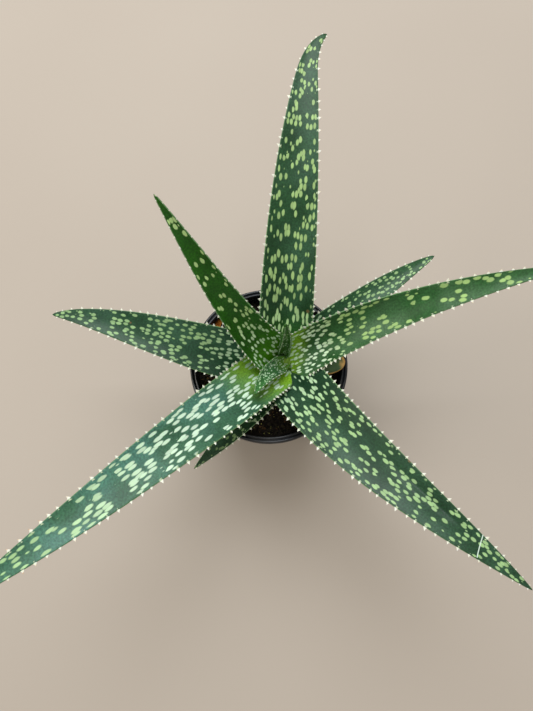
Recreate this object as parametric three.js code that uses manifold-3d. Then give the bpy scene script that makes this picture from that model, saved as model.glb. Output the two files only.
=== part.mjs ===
// Potted white-spotted aloe in a round plastic nursery pot.
// Millimetres, +Z up. The origin is the centre of the pot's flat base.
// Bearings and headings are degrees anticlockwise from +X, seen from above.

import * as THREE from 'three';
import { mergeVertices } from 'three/addons/utils/BufferGeometryUtils.js';
import Module from 'manifold-3d';

const wasm = await Module();
wasm.setup();

// Fit between pieces
const GAP = 0.3;
const SHORTEST_EDGE = 0.05;

// Pot
const POT_HEIGHT = 95;
const POT_RIM_RADIUS = 55;
const POT_BASE_RADIUS = 39;
const POT_WALL = 1.2;
const LIP_WIDTH = 4.4;
const LIP_DEPTH = 6;
// The lip's rolled top, from its outer edge in: [inwards from the rim's radius, down from its top]
const LIP_TOP = [[0, 1.2], [0.7, 0], [1.7, 0], [2.4, 1], [3.1, 0.5], [4, 0.5]];
const LIP_EDGE = 1.6;
const LIP_CHAMFER = 0.9;
const FOOT_CHAMFER = 1.5;
const COLLAR_DEPTH = 16;
const COLLAR_STEP = 1.4;
const POT_SIDES = 48;
const DRAIN_HOLES = 8;
const DRAIN_RADIUS = 4;
const DRAIN_CIRCLE = 30;

// Soil
const SOIL_TOP = 83;
const SOIL_LUMP = 1.4;
const SOIL_RINGS = 9;
const SOIL_SIDES = 40;

// Stem, which stands a little right of the pot's centre
const STEM_X = 9;
const STEM_Y = 2;
const STEM_FOOT = 62;
const STEM_TOP = 104;
const STEM_FOOT_RADIUS = 10.5;
const STEM_NECK_RADIUS = 8.5;
const STEM_TOP_RADIUS = 6.5;
const STEM_SIDES = 20;

// Leaf sections: places across the leaf, from the right margin (-1) to the left margin (1)
const UPPER_FACE = [-1, -0.5, 0, 0.5, 1];
const LOWER_FACE = [1, 0.55, 0, -0.55, -1];
const MARGIN_THICKNESS = 0.9;
const TIP_THICKNESS = 1.6;
const CLASP = 0.55;
const CLASP_LENGTH = 12;
const LAST_STATION = 0.985;
const HOOK_START = 0.82;
const PATH_STEPS = 96;

// Marginal teeth
const TOOTH_SPACING = 8.5;
const TOOTH_HEIGHT = 1.7;
const TOOTH_HALF_LENGTH = 1.6;
const TOOTH_ROOT = 1.3;
const TOOTH_ABOVE = 0.2;
const TOOTH_BELOW = 0.5;
const TOOTH_LEAN = 0.5;
const TOOTH_FIRST = 13;
const TOOTH_LAST = 4;

// Leaves, youngest first, because each one wraps those inside it.
// bearing and reach place the foot of the midrib round the stem's axis, at height foot.
// heading, rise and fold each give the value at the start, the middle and the end:
// the compass direction, the climb above level, and half the arc that the section is rolled to.
// roll tips the blade about its midrib at the start and the end.
// hook is what the last stretch turns sideways and dips. taper shapes the outline.
const LEAVES = [
  {
    name: 'leaf_young_spear', foot: 103, bearing: 60, reach: 2,
    heading: [70, 95, 120], rise: [84, 89, 84], roll: [0, 0], hook: [0, 0],
    length: 69, width: 13, thickness: 3, taper: [1.8, 0.9], fold: [95, 85, 60], stations: 11,
  },
  {
    name: 'leaf_young_curled', foot: 102, bearing: -25, reach: 3,
    heading: [218, 233, 252], rise: [38, 44, 34], roll: [-30, 0], hook: [0, 0],
    length: 46, width: 19, thickness: 3.2, taper: [1.7, 0.8], fold: [75, 62, 45], stations: 12,
  },
  {
    name: 'leaf_back_left', foot: 103, bearing: 196, reach: 3,
    heading: [158, 136, 131], rise: [62, 52, 44], roll: [-19, -14], hook: [0, 0],
    length: 144.5, width: 33, thickness: 6, taper: [1.12, 0.94], fold: [62, 46, 30], stations: 15,
  },
  {
    name: 'leaf_right', foot: 99, bearing: -5, reach: 3,
    heading: [17, 10, 3], rise: [50, 36, 24], roll: [30, 5], hook: [0, 0],
    length: 182, width: 36, thickness: 6, taper: [1.04, 0.83], fold: [62, 30, 20], stations: 16,
  },
  {
    name: 'leaf_front_left', foot: 96, bearing: 251, reach: 3,
    heading: [223, 222, 215.3], rise: [40, 24, 2], roll: [-6, -1], hook: [0, 0],
    length: 237.5, width: 36.5, thickness: 6.5, taper: [1.58, 0.83], fold: [46, 18, 14], stations: 17,
  },
  {
    name: 'leaf_back', foot: 96, bearing: 78, reach: 3,
    heading: [87, 85, 82], rise: [46, 24, 6], roll: [6, 2], hook: [-45, -10],
    length: 215, width: 38, thickness: 6.5, taper: [1.79, 0.74], fold: [42, 20, 16], stations: 18,
  },
  {
    name: 'leaf_front_right', foot: 93, bearing: 296, reach: 3,
    heading: [296.5, 315.5, 321], rise: [38, 17, -5], roll: [13, 0], hook: [0, 0],
    length: 204, width: 41.5, thickness: 6.5, taper: [1.66, 0.92], fold: [38, 16, 14], stations: 17,
  },
  {
    name: 'leaf_left', foot: 93, bearing: 199, reach: 3,
    heading: [182.5, 166.5, 176], rise: [34, 12, 2], roll: [-18, -2], hook: [0, -20],
    length: 157, width: 37, thickness: 6, taper: [1.7, 0.82], fold: [38, 20, 18], stations: 16,
  },
  {
    name: 'leaf_low_right', foot: 92, bearing: 18, reach: 3,
    heading: [33.5, 34, 29.5], rise: [32, 14, 4], roll: [0, 0], hook: [0, 0],
    length: 125, width: 27, thickness: 5.5, taper: [1.5, 0.73], fold: [36, 22, 18], stations: 14,
  },
  {
    name: 'leaf_low_front', foot: 91, bearing: 243, reach: 3,
    heading: [244, 231, 222], rise: [28, 8, -14], roll: [-9, 0], hook: [0, 0],
    length: 95, width: 28, thickness: 5, taper: [1.48, 0.98], fold: [36, 26, 20], stations: 13,
  },
  {
    name: 'leaf_old_stub', foot: 91, bearing: -12, reach: 3,
    heading: [-8, 0, 4], rise: [22, 9, 4], roll: [0, 0], hook: [0, 0],
    length: 42, width: 20, thickness: 4, taper: [4, 0.5], fold: [30, 20, 12], stations: 9,
  },
];

// Materials
const POT_PLASTIC = { color: 0x17181b, roughness: 0.45, metalness: 0 };
const POTTING_MIX = { color: 0x1d1510, roughness: 1, metalness: 0 };
const STEM_BARK = { color: 0x6b6a3a, roughness: 0.8, metalness: 0 };
const LEAF_SKIN = { color: 0x2c5f3c, roughness: 0.5, metalness: 0 };
const STUB_SKIN = { color: 0x6a7a2c, roughness: 0.6, metalness: 0 };

const radians = THREE.MathUtils.degToRad;

// The parabola through three values at the start, the middle and the end of a leaf
function along([start, middle, end], s) {
  return start * (1 - s) * (1 - 2 * s) + 4 * middle * s * (1 - s) + end * s * (2 * s - 1);
}

function blend(from, to, s) {
  return from + (to - from) * s;
}

// A repeatable random source, so that every build places the same teeth
function seededRandom(seed) {
  let state = seed;
  return () => {
    state = (state * 1664525 + 1013904223) % 4294967296;
    return state / 4294967296;
  };
}

// Solids and booleans

function toSolid(geometry) {
  const bare = geometry.clone();
  bare.deleteAttribute('normal');
  bare.deleteAttribute('uv');
  const merged = mergeVertices(bare, 1e-4);
  const corners = merged.index.array;
  const kept = [];
  for (let i = 0; i < corners.length; i += 3) {
    const [a, b, c] = [corners[i], corners[i + 1], corners[i + 2]];
    if (a !== b && b !== c && c !== a) kept.push(a, b, c);
  }
  return new wasm.Manifold(new wasm.Mesh({
    numProp: 3,
    vertProperties: new Float32Array(merged.attributes.position.array),
    triVerts: new Uint32Array(kept),
  }));
}

function toGeometry(solid) {
  const mesh = solid.simplify(SHORTEST_EDGE).getMesh();
  const geometry = new THREE.BufferGeometry();
  geometry.setAttribute('position', new THREE.BufferAttribute(mesh.vertProperties, 3));
  geometry.setIndex(new THREE.BufferAttribute(mesh.triVerts, 1));
  geometry.computeVertexNormals();
  return geometry;
}

function largestBody(solid) {
  const bodies = solid.decompose();
  bodies.sort((a, b) => b.volume() - a.volume());
  return bodies[0];
}

// A closed turned solid about the Z axis, from a profile of [radius, height] pairs
function turned(profile, sides) {
  const points = profile.map(([radius, height]) => new THREE.Vector2(radius, height));
  const geometry = new THREE.LatheGeometry(points, sides);
  geometry.rotateX(Math.PI / 2);
  return geometry;
}

function post(radius, bottom, top, sides) {
  const geometry = new THREE.CylinderGeometry(radius, radius, top - bottom, sides);
  geometry.rotateX(Math.PI / 2);
  geometry.translate(0, 0, (top + bottom) / 2);
  return geometry;
}

// Pot

// Radius of the wall's outer face at height z, below the collar
function potRadius(z) {
  const collarBottom = POT_HEIGHT - COLLAR_DEPTH;
  const topRadius = POT_RIM_RADIUS - LIP_WIDTH + POT_WALL - COLLAR_STEP;
  return blend(POT_BASE_RADIUS, topRadius, z / collarBottom);
}

function potProfile() {
  const collarBottom = POT_HEIGHT - COLLAR_DEPTH;
  const collarRadius = POT_RIM_RADIUS - LIP_WIDTH + POT_WALL;
  const lipBottom = POT_HEIGHT - LIP_DEPTH;
  const boreRadius = POT_RIM_RADIUS - LIP_WIDTH;
  const floorTop = POT_WALL;
  return [
    [0, 0],
    [POT_BASE_RADIUS - FOOT_CHAMFER, 0],
    [POT_BASE_RADIUS, FOOT_CHAMFER],
    [potRadius(collarBottom - 1), collarBottom - 1],
    [collarRadius, collarBottom + 1],
    [collarRadius, lipBottom],
    [POT_RIM_RADIUS - LIP_CHAMFER, lipBottom],
    [POT_RIM_RADIUS, lipBottom + LIP_CHAMFER],
    ...LIP_TOP.map(([inwards, down]) => [POT_RIM_RADIUS - inwards, POT_HEIGHT - down]),
    [boreRadius, POT_HEIGHT - LIP_EDGE],
    [boreRadius - COLLAR_STEP * 0.2, collarBottom + 1],
    [potRadius(collarBottom - 1) - POT_WALL, collarBottom - 1],
    [POT_BASE_RADIUS - POT_WALL, floorTop],
    [0, floorTop],
  ];
}

function makePot() {
  let pot = toSolid(turned(potProfile(), POT_SIDES));
  for (let i = 0; i < DRAIN_HOLES; i += 1) {
    const angle = (i / DRAIN_HOLES) * 2 * Math.PI;
    const hole = post(DRAIN_RADIUS, -1, POT_WALL + 1, 12);
    hole.translate(DRAIN_CIRCLE * Math.cos(angle), DRAIN_CIRCLE * Math.sin(angle), 0);
    pot = pot.subtract(toSolid(hole));
  }
  return pot;
}

// Stem

function stemProfile(grow) {
  return [
    [0, STEM_FOOT - grow],
    [STEM_FOOT_RADIUS * 0.7 + grow, STEM_FOOT - grow],
    [STEM_FOOT_RADIUS + grow, STEM_FOOT + 4],
    [STEM_FOOT_RADIUS + grow, SOIL_TOP],
    [STEM_NECK_RADIUS + grow, SOIL_TOP + 8],
    [STEM_TOP_RADIUS + grow, STEM_TOP - 3],
    [STEM_TOP_RADIUS * 0.5 + grow, STEM_TOP + grow],
    [0, STEM_TOP + grow],
  ];
}

function makeStem(grow) {
  const geometry = turned(stemProfile(grow), STEM_SIDES);
  geometry.translate(STEM_X, STEM_Y, 0);
  return toSolid(geometry);
}

// Soil

// Height of the lumpy top, which sinks a little towards the stem
function soilHeight(x, y) {
  const fromStem = Math.hypot(x - STEM_X, y - STEM_Y);
  const dip = -1.2 * Math.exp(-((fromStem / 22) ** 2));
  const broad = Math.sin(x * 0.19 + 1.1) * Math.cos(y * 0.23 - 0.4);
  const fine = Math.sin(x * 0.53 - y * 0.41) * Math.sin(y * 0.61 + x * 0.13 + 2);
  return SOIL_TOP + dip + SOIL_LUMP * (0.5 * broad + 0.5 * fine);
}

function makeSoil() {
  const collarBottom = POT_HEIGHT - COLLAR_DEPTH;
  const topRadius = POT_RIM_RADIUS - LIP_WIDTH - COLLAR_STEP * 0.2 - GAP;
  const shoulder = potRadius(collarBottom - 1) - POT_WALL - GAP;
  const floor = POT_WALL + GAP;
  const foot = blend(POT_BASE_RADIUS - POT_WALL, shoulder + GAP, floor / collarBottom) - GAP;
  const profile = [
    [0, floor],
    [foot, floor],
    [shoulder, collarBottom - 1 - GAP],
    [topRadius, collarBottom + 1 + GAP],
    [topRadius, SOIL_TOP],
  ];
  for (let ring = SOIL_RINGS - 1; ring >= 0; ring -= 1) {
    profile.push([(topRadius * ring) / SOIL_RINGS, SOIL_TOP]);
  }
  const geometry = turned(profile, SOIL_SIDES);
  const places = geometry.attributes.position;
  for (let i = 0; i < places.count; i += 1) {
    const [x, y, z] = [places.getX(i), places.getY(i), places.getZ(i)];
    if (z > SOIL_TOP - 0.01) places.setZ(i, soilHeight(x, y));
  }
  const hole = post(STEM_FOOT_RADIUS + GAP, STEM_FOOT - GAP, POT_HEIGHT, STEM_SIDES);
  hole.rotateZ(Math.PI / STEM_SIDES);
  hole.translate(STEM_X, STEM_Y, 0);
  return toSolid(geometry).subtract(toSolid(hole));
}

// Leaves

// Direction of the midrib and of the blade's left side and upper face, s along the leaf
function leafDirections(leaf, s) {
  const late = Math.max(0, (s - HOOK_START) / (1 - HOOK_START)) ** 2;
  const heading = radians(along(leaf.heading, s) + leaf.hook[0] * late);
  const rise = radians(along(leaf.rise, s) + leaf.hook[1] * late);
  const roll = radians(blend(leaf.roll[0], leaf.roll[1], s));
  const forward = new THREE.Vector3(
    Math.cos(heading) * Math.cos(rise),
    Math.sin(heading) * Math.cos(rise),
    Math.sin(rise),
  );
  const left = new THREE.Vector3(-Math.sin(heading), Math.cos(heading), 0);
  left.applyAxisAngle(forward, roll);
  const up = new THREE.Vector3().crossVectors(forward, left);
  return { forward, left, up };
}

// The midrib, walked in short steps from its foot
function leafPath(leaf) {
  const bearing = radians(leaf.bearing);
  const place = new THREE.Vector3(
    STEM_X + leaf.reach * Math.cos(bearing),
    STEM_Y + leaf.reach * Math.sin(bearing),
    leaf.foot,
  );
  const path = [place.clone()];
  for (let i = 0; i < PATH_STEPS; i += 1) {
    const { forward } = leafDirections(leaf, (i + 0.5) / PATH_STEPS);
    place.addScaledVector(forward, leaf.length / PATH_STEPS);
    path.push(place.clone());
  }
  return path;
}

function leafWidth(leaf, s) {
  const [p, q] = leaf.taper;
  const clasp = THREE.MathUtils.smoothstep(s * leaf.length, 0, CLASP_LENGTH);
  return leaf.width * (1 - s ** p) ** q * blend(CLASP, 1, clasp);
}

// A point of the blade at s along and u across, sunk below the upper face by depth,
// with the directions out to the margin and off the face there
function leafPoint(leaf, path, s, u, depth, grow) {
  const step = Math.min(Math.floor(s * PATH_STEPS), PATH_STEPS - 1);
  const middle = path[step].clone().lerp(path[step + 1], s * PATH_STEPS - step);
  const { forward, left, up } = leafDirections(leaf, s);
  const half = leafWidth(leaf, s) / 2;
  const arc = radians(along(leaf.fold, s));
  const radius = half / arc;
  const angle = u * (arc + grow / radius);
  const outer = radius + depth;
  const point = middle.clone();
  point.addScaledVector(left, outer * Math.sin(angle));
  point.addScaledVector(up, radius - outer * Math.cos(angle));
  const across = left.clone().multiplyScalar(Math.cos(angle)).addScaledVector(up, Math.sin(angle));
  const off = up.clone().multiplyScalar(Math.cos(angle)).addScaledVector(left, -Math.sin(angle));
  return { point, forward, across, off };
}

function leafThickness(leaf, s, u) {
  const fullness = Math.sqrt(leafWidth(leaf, s) / leaf.width);
  const middle = blend(TIP_THICKNESS, leaf.thickness, fullness);
  return blend(MARGIN_THICKNESS, middle, 1 - u * u);
}

// The blade as rings of points closed by a flat foot and a pointed tip
function leafBlade(leaf, path, grow) {
  const ring = UPPER_FACE.length + LOWER_FACE.length;
  const points = [];
  const faces = [];
  for (let i = 0; i < leaf.stations; i += 1) {
    const s = LAST_STATION * (i / (leaf.stations - 1)) ** 0.9;
    for (const u of UPPER_FACE) {
      points.push(leafPoint(leaf, path, s, u, -grow, grow).point);
    }
    for (const u of LOWER_FACE) {
      const depth = leafThickness(leaf, s, u) + grow;
      points.push(leafPoint(leaf, path, s, u, depth, grow).point);
    }
  }
  for (let i = 0; i < leaf.stations - 1; i += 1) {
    for (let j = 0; j < ring; j += 1) {
      const a = i * ring + j;
      const b = i * ring + ((j + 1) % ring);
      faces.push(a, a + ring, b + ring, a, b + ring, b);
    }
  }
  const foot = points.length;
  points.push(leafPoint(leaf, path, 0, 0, leafThickness(leaf, 0, 0) / 2, 0).point);
  const tip = points.length;
  const { forward, up } = leafDirections(leaf, 1);
  const point = path[PATH_STEPS].clone().addScaledVector(up, -TIP_THICKNESS / 2);
  points.push(point.addScaledVector(forward, grow));
  const last = (leaf.stations - 1) * ring;
  for (let j = 0; j < ring; j += 1) {
    const next = (j + 1) % ring;
    faces.push(foot, j, next);
    faces.push(tip, last + next, last + j);
  }
  const geometry = new THREE.BufferGeometry().setFromPoints(points);
  geometry.setIndex(faces);
  return toSolid(geometry);
}

// One tooth: a three-sided thorn rooted in the margin, its point leaning to the leaf's tip
function leafTooth(leaf, path, s, side, size, grow) {
  const depth = MARGIN_THICKNESS / 2;
  const { point, forward, across, off } = leafPoint(leaf, path, s, side, depth, 0);
  const out = across.clone().multiplyScalar(side);
  const root = point.clone().addScaledVector(out, -TOOTH_ROOT - grow);
  const half = TOOTH_HALF_LENGTH * size + 2 * grow;
  const behind = root.clone().addScaledVector(forward, -half).addScaledVector(off, TOOTH_ABOVE + grow);
  const ahead = root.clone().addScaledVector(forward, half).addScaledVector(off, TOOTH_ABOVE + grow);
  const under = root.clone().addScaledVector(off, -TOOTH_BELOW - 2 * grow);
  const peak = point.clone().addScaledVector(out, TOOTH_HEIGHT * size + 2 * grow);
  peak.addScaledVector(forward, TOOTH_LEAN);
  const geometry = new THREE.BufferGeometry().setFromPoints([behind, ahead, under, peak]);
  const outward = side > 0 ? [0, 2, 1, 0, 1, 3, 1, 2, 3, 2, 0, 3] : [0, 1, 2, 0, 3, 1, 1, 3, 2, 2, 3, 0];
  geometry.setIndex(outward);
  return toSolid(geometry);
}

function leafTeeth(leaf, path, grow) {
  const random = seededRandom(leaf.length * 100 + leaf.width);
  const teeth = [];
  for (const side of [-1, 1]) {
    let distance = TOOTH_FIRST + TOOTH_SPACING * 0.5 * random();
    while (distance < leaf.length - TOOTH_LAST) {
      const s = distance / leaf.length;
      const size = blend(0.8, 1.1, random()) * blend(0.75, 1, Math.min(1, leafWidth(leaf, s) / 14));
      teeth.push(leafTooth(leaf, path, s, side, size, grow));
      distance += TOOTH_SPACING * blend(0.8, 1.15, random());
    }
  }
  return teeth;
}

// A whole leaf with its teeth, made larger all round by grow
function makeLeaf(leaf, grow) {
  const path = leafPath(leaf);
  let solid = leafBlade(leaf, path, grow);
  for (const tooth of leafTeeth(leaf, path, grow)) {
    solid = solid.add(tooth);
  }
  return solid;
}

// Assembly

const plant = new THREE.Group();

function place(name, solid, finish) {
  const mesh = new THREE.Mesh(toGeometry(solid), new THREE.MeshStandardMaterial(finish));
  mesh.name = name;
  plant.add(mesh);
}

place('pot', makePot(), POT_PLASTIC);
place('soil', makeSoil(), POTTING_MIX);
place('stem', makeStem(0), STEM_BARK);

// Each leaf gives way to the stem and to the leaves inside it, with the fit's gap between them
const inside = [makeStem(GAP)];
for (const leaf of LEAVES) {
  let solid = makeLeaf(leaf, 0);
  for (const neighbour of inside) {
    solid = solid.subtract(neighbour);
  }
  place(leaf.name, largestBody(solid), leaf.name === 'leaf_old_stub' ? STUB_SKIN : LEAF_SKIN);
  inside.push(makeLeaf(leaf, GAP));
}

export default plant;
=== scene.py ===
"""Looks of a potted, white-spotted aloe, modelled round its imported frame.

The frame is in metres with +Z up, and its origin is the centre of the pot's flat base. The classes
below hold their sizes in millimetres, as a grower would measure them, and a mesh takes them to metres.
Bearings and headings are degrees anticlockwise from +X, seen from above.
"""

import logging
import math
import random
from collections.abc import Callable, Iterable, Sequence
from dataclasses import dataclass, field
from enum import Enum

import bpy
from mathutils import Matrix, Vector, noise


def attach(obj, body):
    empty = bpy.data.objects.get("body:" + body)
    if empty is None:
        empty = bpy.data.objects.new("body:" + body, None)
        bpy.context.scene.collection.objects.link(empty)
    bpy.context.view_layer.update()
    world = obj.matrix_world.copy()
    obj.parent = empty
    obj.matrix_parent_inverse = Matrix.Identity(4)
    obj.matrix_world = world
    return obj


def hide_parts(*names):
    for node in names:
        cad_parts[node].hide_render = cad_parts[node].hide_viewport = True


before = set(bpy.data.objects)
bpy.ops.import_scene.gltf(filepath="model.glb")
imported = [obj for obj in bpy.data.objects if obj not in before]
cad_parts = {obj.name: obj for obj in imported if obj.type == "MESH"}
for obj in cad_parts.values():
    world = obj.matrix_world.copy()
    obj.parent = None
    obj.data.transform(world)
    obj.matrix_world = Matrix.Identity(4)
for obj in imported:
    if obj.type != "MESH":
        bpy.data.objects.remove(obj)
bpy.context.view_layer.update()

MM = 0.001
PHOTO_HEIGHT = 711

Colour = tuple[float, float, float, float]
Triple = tuple[float, float, float]
Pair = tuple[float, float]
Socket = bpy.types.NodeSocket
Inputs = dict[str | int, Socket | float | Sequence[float]]

log = logging.getLogger("aloe")

# Sockets of the Mix node when it mixes colours
FACTOR = 0
FIRST = 6
SECOND = 7
MIXED = 2

# A vertex is on a turned ring if it is farther out than this share of the ring's radius
ON_RING = 0.9
# A strip's Z below which a vertex or face is on its lower side, and its Y beyond which one is at the tip
LOWER_SIDE = -0.5
AT_TIP = 0.999


def linear(hex_colour: str) -> Colour:
    """Turn an sRGB hex colour into the linear colour that shaders work in.

    Args:
        hex_colour: The colour as "#rrggbb".

    Returns:
        Red, green, blue and an alpha of one, all linear.
    """
    channels = [int(hex_colour[i:i + 2], 16) / 255 for i in (1, 3, 5)]
    low = [c / 12.92 if c <= 0.04045 else ((c + 0.055) / 1.055) ** 2.4 for c in channels]
    return (low[0], low[1], low[2], 1.0)


def blend(start: float, end: float, share: float) -> float:
    """Return the value that lies at a share of the way from start to end."""
    return start + (end - start) * share


def smooth_share(value: float, low: float, high: float) -> float:
    """Return how far value is from low to high, from 0 to 1, easing in and out."""
    share = min(1.0, max(0.0, (value - low) / (high - low)))
    return share * share * (3 - 2 * share)


def along(values: Triple, s: float) -> float:
    """Return the parabola through three values at the start, the middle and the end.

    Args:
        values: What it is at 0, 0.5 and 1.
        s: The place along it.

    Returns:
        Its value there.
    """
    start, middle, end = values
    return start * (1 - s) * (1 - 2 * s) + 4 * middle * s * (1 - s) + end * s * (2 * s - 1)


def add_node(
    tree: bpy.types.NodeTree, kind: str, inputs: Inputs | None = None, **settings: str
) -> bpy.types.Node:
    """Add one shader node with its settings and links.

    Args:
        tree: The material's node tree.
        kind: The node's type, without the "ShaderNode" that all of them start with.
        inputs: Socket names or numbers, each with a value or with the output that feeds it.
        **settings: Properties of the node.

    Returns:
        The new node.
    """
    made = tree.nodes.new("ShaderNode" + kind)
    for name, value in settings.items():
        setattr(made, name, value)
    for socket, value in (inputs or {}).items():
        if isinstance(value, bpy.types.NodeSocket):
            tree.links.new(value, made.inputs[socket])
        else:
            made.inputs[socket].default_value = value
    return made


def deselect_all() -> None:
    """Leave edit mode and deselect every object, since operators act on all that is selected."""
    if bpy.context.object and bpy.context.object.mode != "OBJECT":
        bpy.ops.object.mode_set(mode="OBJECT")
    bpy.ops.object.select_all(action="DESELECT")


def select_only(pieces: Iterable[bpy.types.Object], active: bpy.types.Object) -> None:
    """Select some objects and nothing else.

    Args:
        pieces: The objects to select.
        active: The one that operators treat as the main one.
    """
    deselect_all()
    for piece in pieces:
        piece.select_set(True)
    bpy.context.view_layer.objects.active = active


def select_where(piece: bpy.types.Object, test: Callable[[Vector], bool]) -> None:
    """Select the vertices of a piece in edit mode by their place.

    Args:
        piece: The piece, in edit mode.
        test: A function of a vertex's place that says whether to select it.
    """
    bpy.ops.mesh.select_all(action="DESELECT")
    bpy.ops.object.mode_set(mode="OBJECT")
    for vertex in piece.data.vertices:
        vertex.select = test(vertex.co)
    bpy.ops.object.mode_set(mode="EDIT")


def apply_modifier(piece: bpy.types.Object, kind: str, **settings: object) -> None:
    """Add a modifier to a piece and apply it.

    Args:
        piece: The piece.
        kind: The modifier's type.
        **settings: The modifier's properties.
    """
    select_only([piece], piece)
    modifier = piece.modifiers.new(kind.lower(), kind)
    for name, value in settings.items():
        setattr(modifier, name, value)
    bpy.ops.object.modifier_apply(modifier=modifier.name)


def smooth(piece: bpy.types.Object, degrees: float) -> None:
    """Shade a piece smooth where its faces meet at less than an angle.

    Args:
        piece: The piece.
        degrees: The angle.
    """
    select_only([piece], piece)
    bpy.ops.object.shade_smooth_by_angle(angle=math.radians(degrees))


def own_copy(pattern: bpy.types.Object, place: Matrix) -> bpy.types.Object:
    """Copy a modelled shape, with its own mesh, to a place.

    Args:
        pattern: The shape that was modelled once.
        place: Where the copy goes.

    Returns:
        The copy, whose place is in its mesh.
    """
    copy = pattern.copy()
    copy.data = pattern.data.copy()
    copy.data.transform(place)
    bpy.context.scene.collection.objects.link(copy)
    return copy


def join(pieces: Sequence[bpy.types.Object]) -> bpy.types.Object:
    """Join pieces into the first one and return it."""
    select_only(pieces, pieces[0])
    bpy.ops.object.join()
    return pieces[0]


def remove(piece: bpy.types.Object) -> None:
    """Remove a pattern that has been copied everywhere it is needed."""
    bpy.data.objects.remove(piece)


def set_point_values(piece: bpy.types.Object, name: str, values: Sequence[float]) -> None:
    """Give a mesh one number at each vertex, for its material to read.

    Args:
        piece: The piece.
        name: The attribute's name.
        values: One number for each vertex.
    """
    layer = piece.data.attributes.get(name) or piece.data.attributes.new(name, "FLOAT", "POINT")
    layer.data.foreach_set("value", values)


def turn(name: str, profile: Sequence[Pair], sides: int, centre: Pair = (0.0, 0.0)) -> bpy.types.Object:
    """Model a turned solid by raising a ring from step to step.

    Args:
        name: The piece's name.
        profile: Radius and height of each ring in millimetres, from the middle of the underside
            outwards, up, and in again to the middle of the top. The two middles are left out.
        sides: How many sides a ring has.
        centre: Where the axis stands, in millimetres.

    Returns:
        The closed solid, with its place in its mesh.
    """
    radius, height = profile[0]
    middle = Vector((centre[0] * MM, centre[1] * MM, height * MM))
    deselect_all()
    bpy.ops.mesh.primitive_circle_add(
        vertices=sides, radius=radius * MM, fill_type="TRIFAN", location=middle)
    piece = bpy.context.object
    piece.name = name
    bpy.ops.object.transform_apply(location=True, rotation=False, scale=False)
    bpy.ops.object.mode_set(mode="EDIT")
    select_where(piece, lambda co: (co - middle).length > radius * MM * ON_RING)
    for next_radius, next_height in profile[1:]:
        rise = (next_height - height) * MM
        bpy.ops.mesh.extrude_edges_move(TRANSFORM_OT_translate={"value": (0, 0, rise)})
        middle.z += rise
        scale = next_radius / radius
        bpy.ops.transform.resize(value=(scale, scale, 1), center_override=middle)
        radius, height = next_radius, next_height
    bpy.ops.mesh.edge_face_add()
    bpy.ops.mesh.poke()
    bpy.ops.mesh.select_all(action="SELECT")
    bpy.ops.mesh.normals_make_consistent(inside=False)
    bpy.ops.object.mode_set(mode="OBJECT")
    return piece


class Slot(Enum):
    """The record's material slots."""

    POT_PLASTIC = "pot_plastic"
    POTTING_MIX = "potting_mix"
    STEM_BARK = "stem_bark"
    LEAF_SKIN = "leaf_skin"
    OLD_LEAF_SKIN = "old_leaf_skin"


def hand_over(piece: bpy.types.Object, name: str, nodes: Sequence[str]) -> None:
    """Name a finished piece and tie it to the frame.

    Args:
        piece: The finished piece.
        name: Its name.
        nodes: The CAD nodes that it stands for.
    """
    piece.name = name
    piece.data.name = name
    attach(piece, "root")
    if nodes:
        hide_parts(*nodes)
    log.info("%s: %d faces", name, len(piece.data.polygons))


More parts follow.
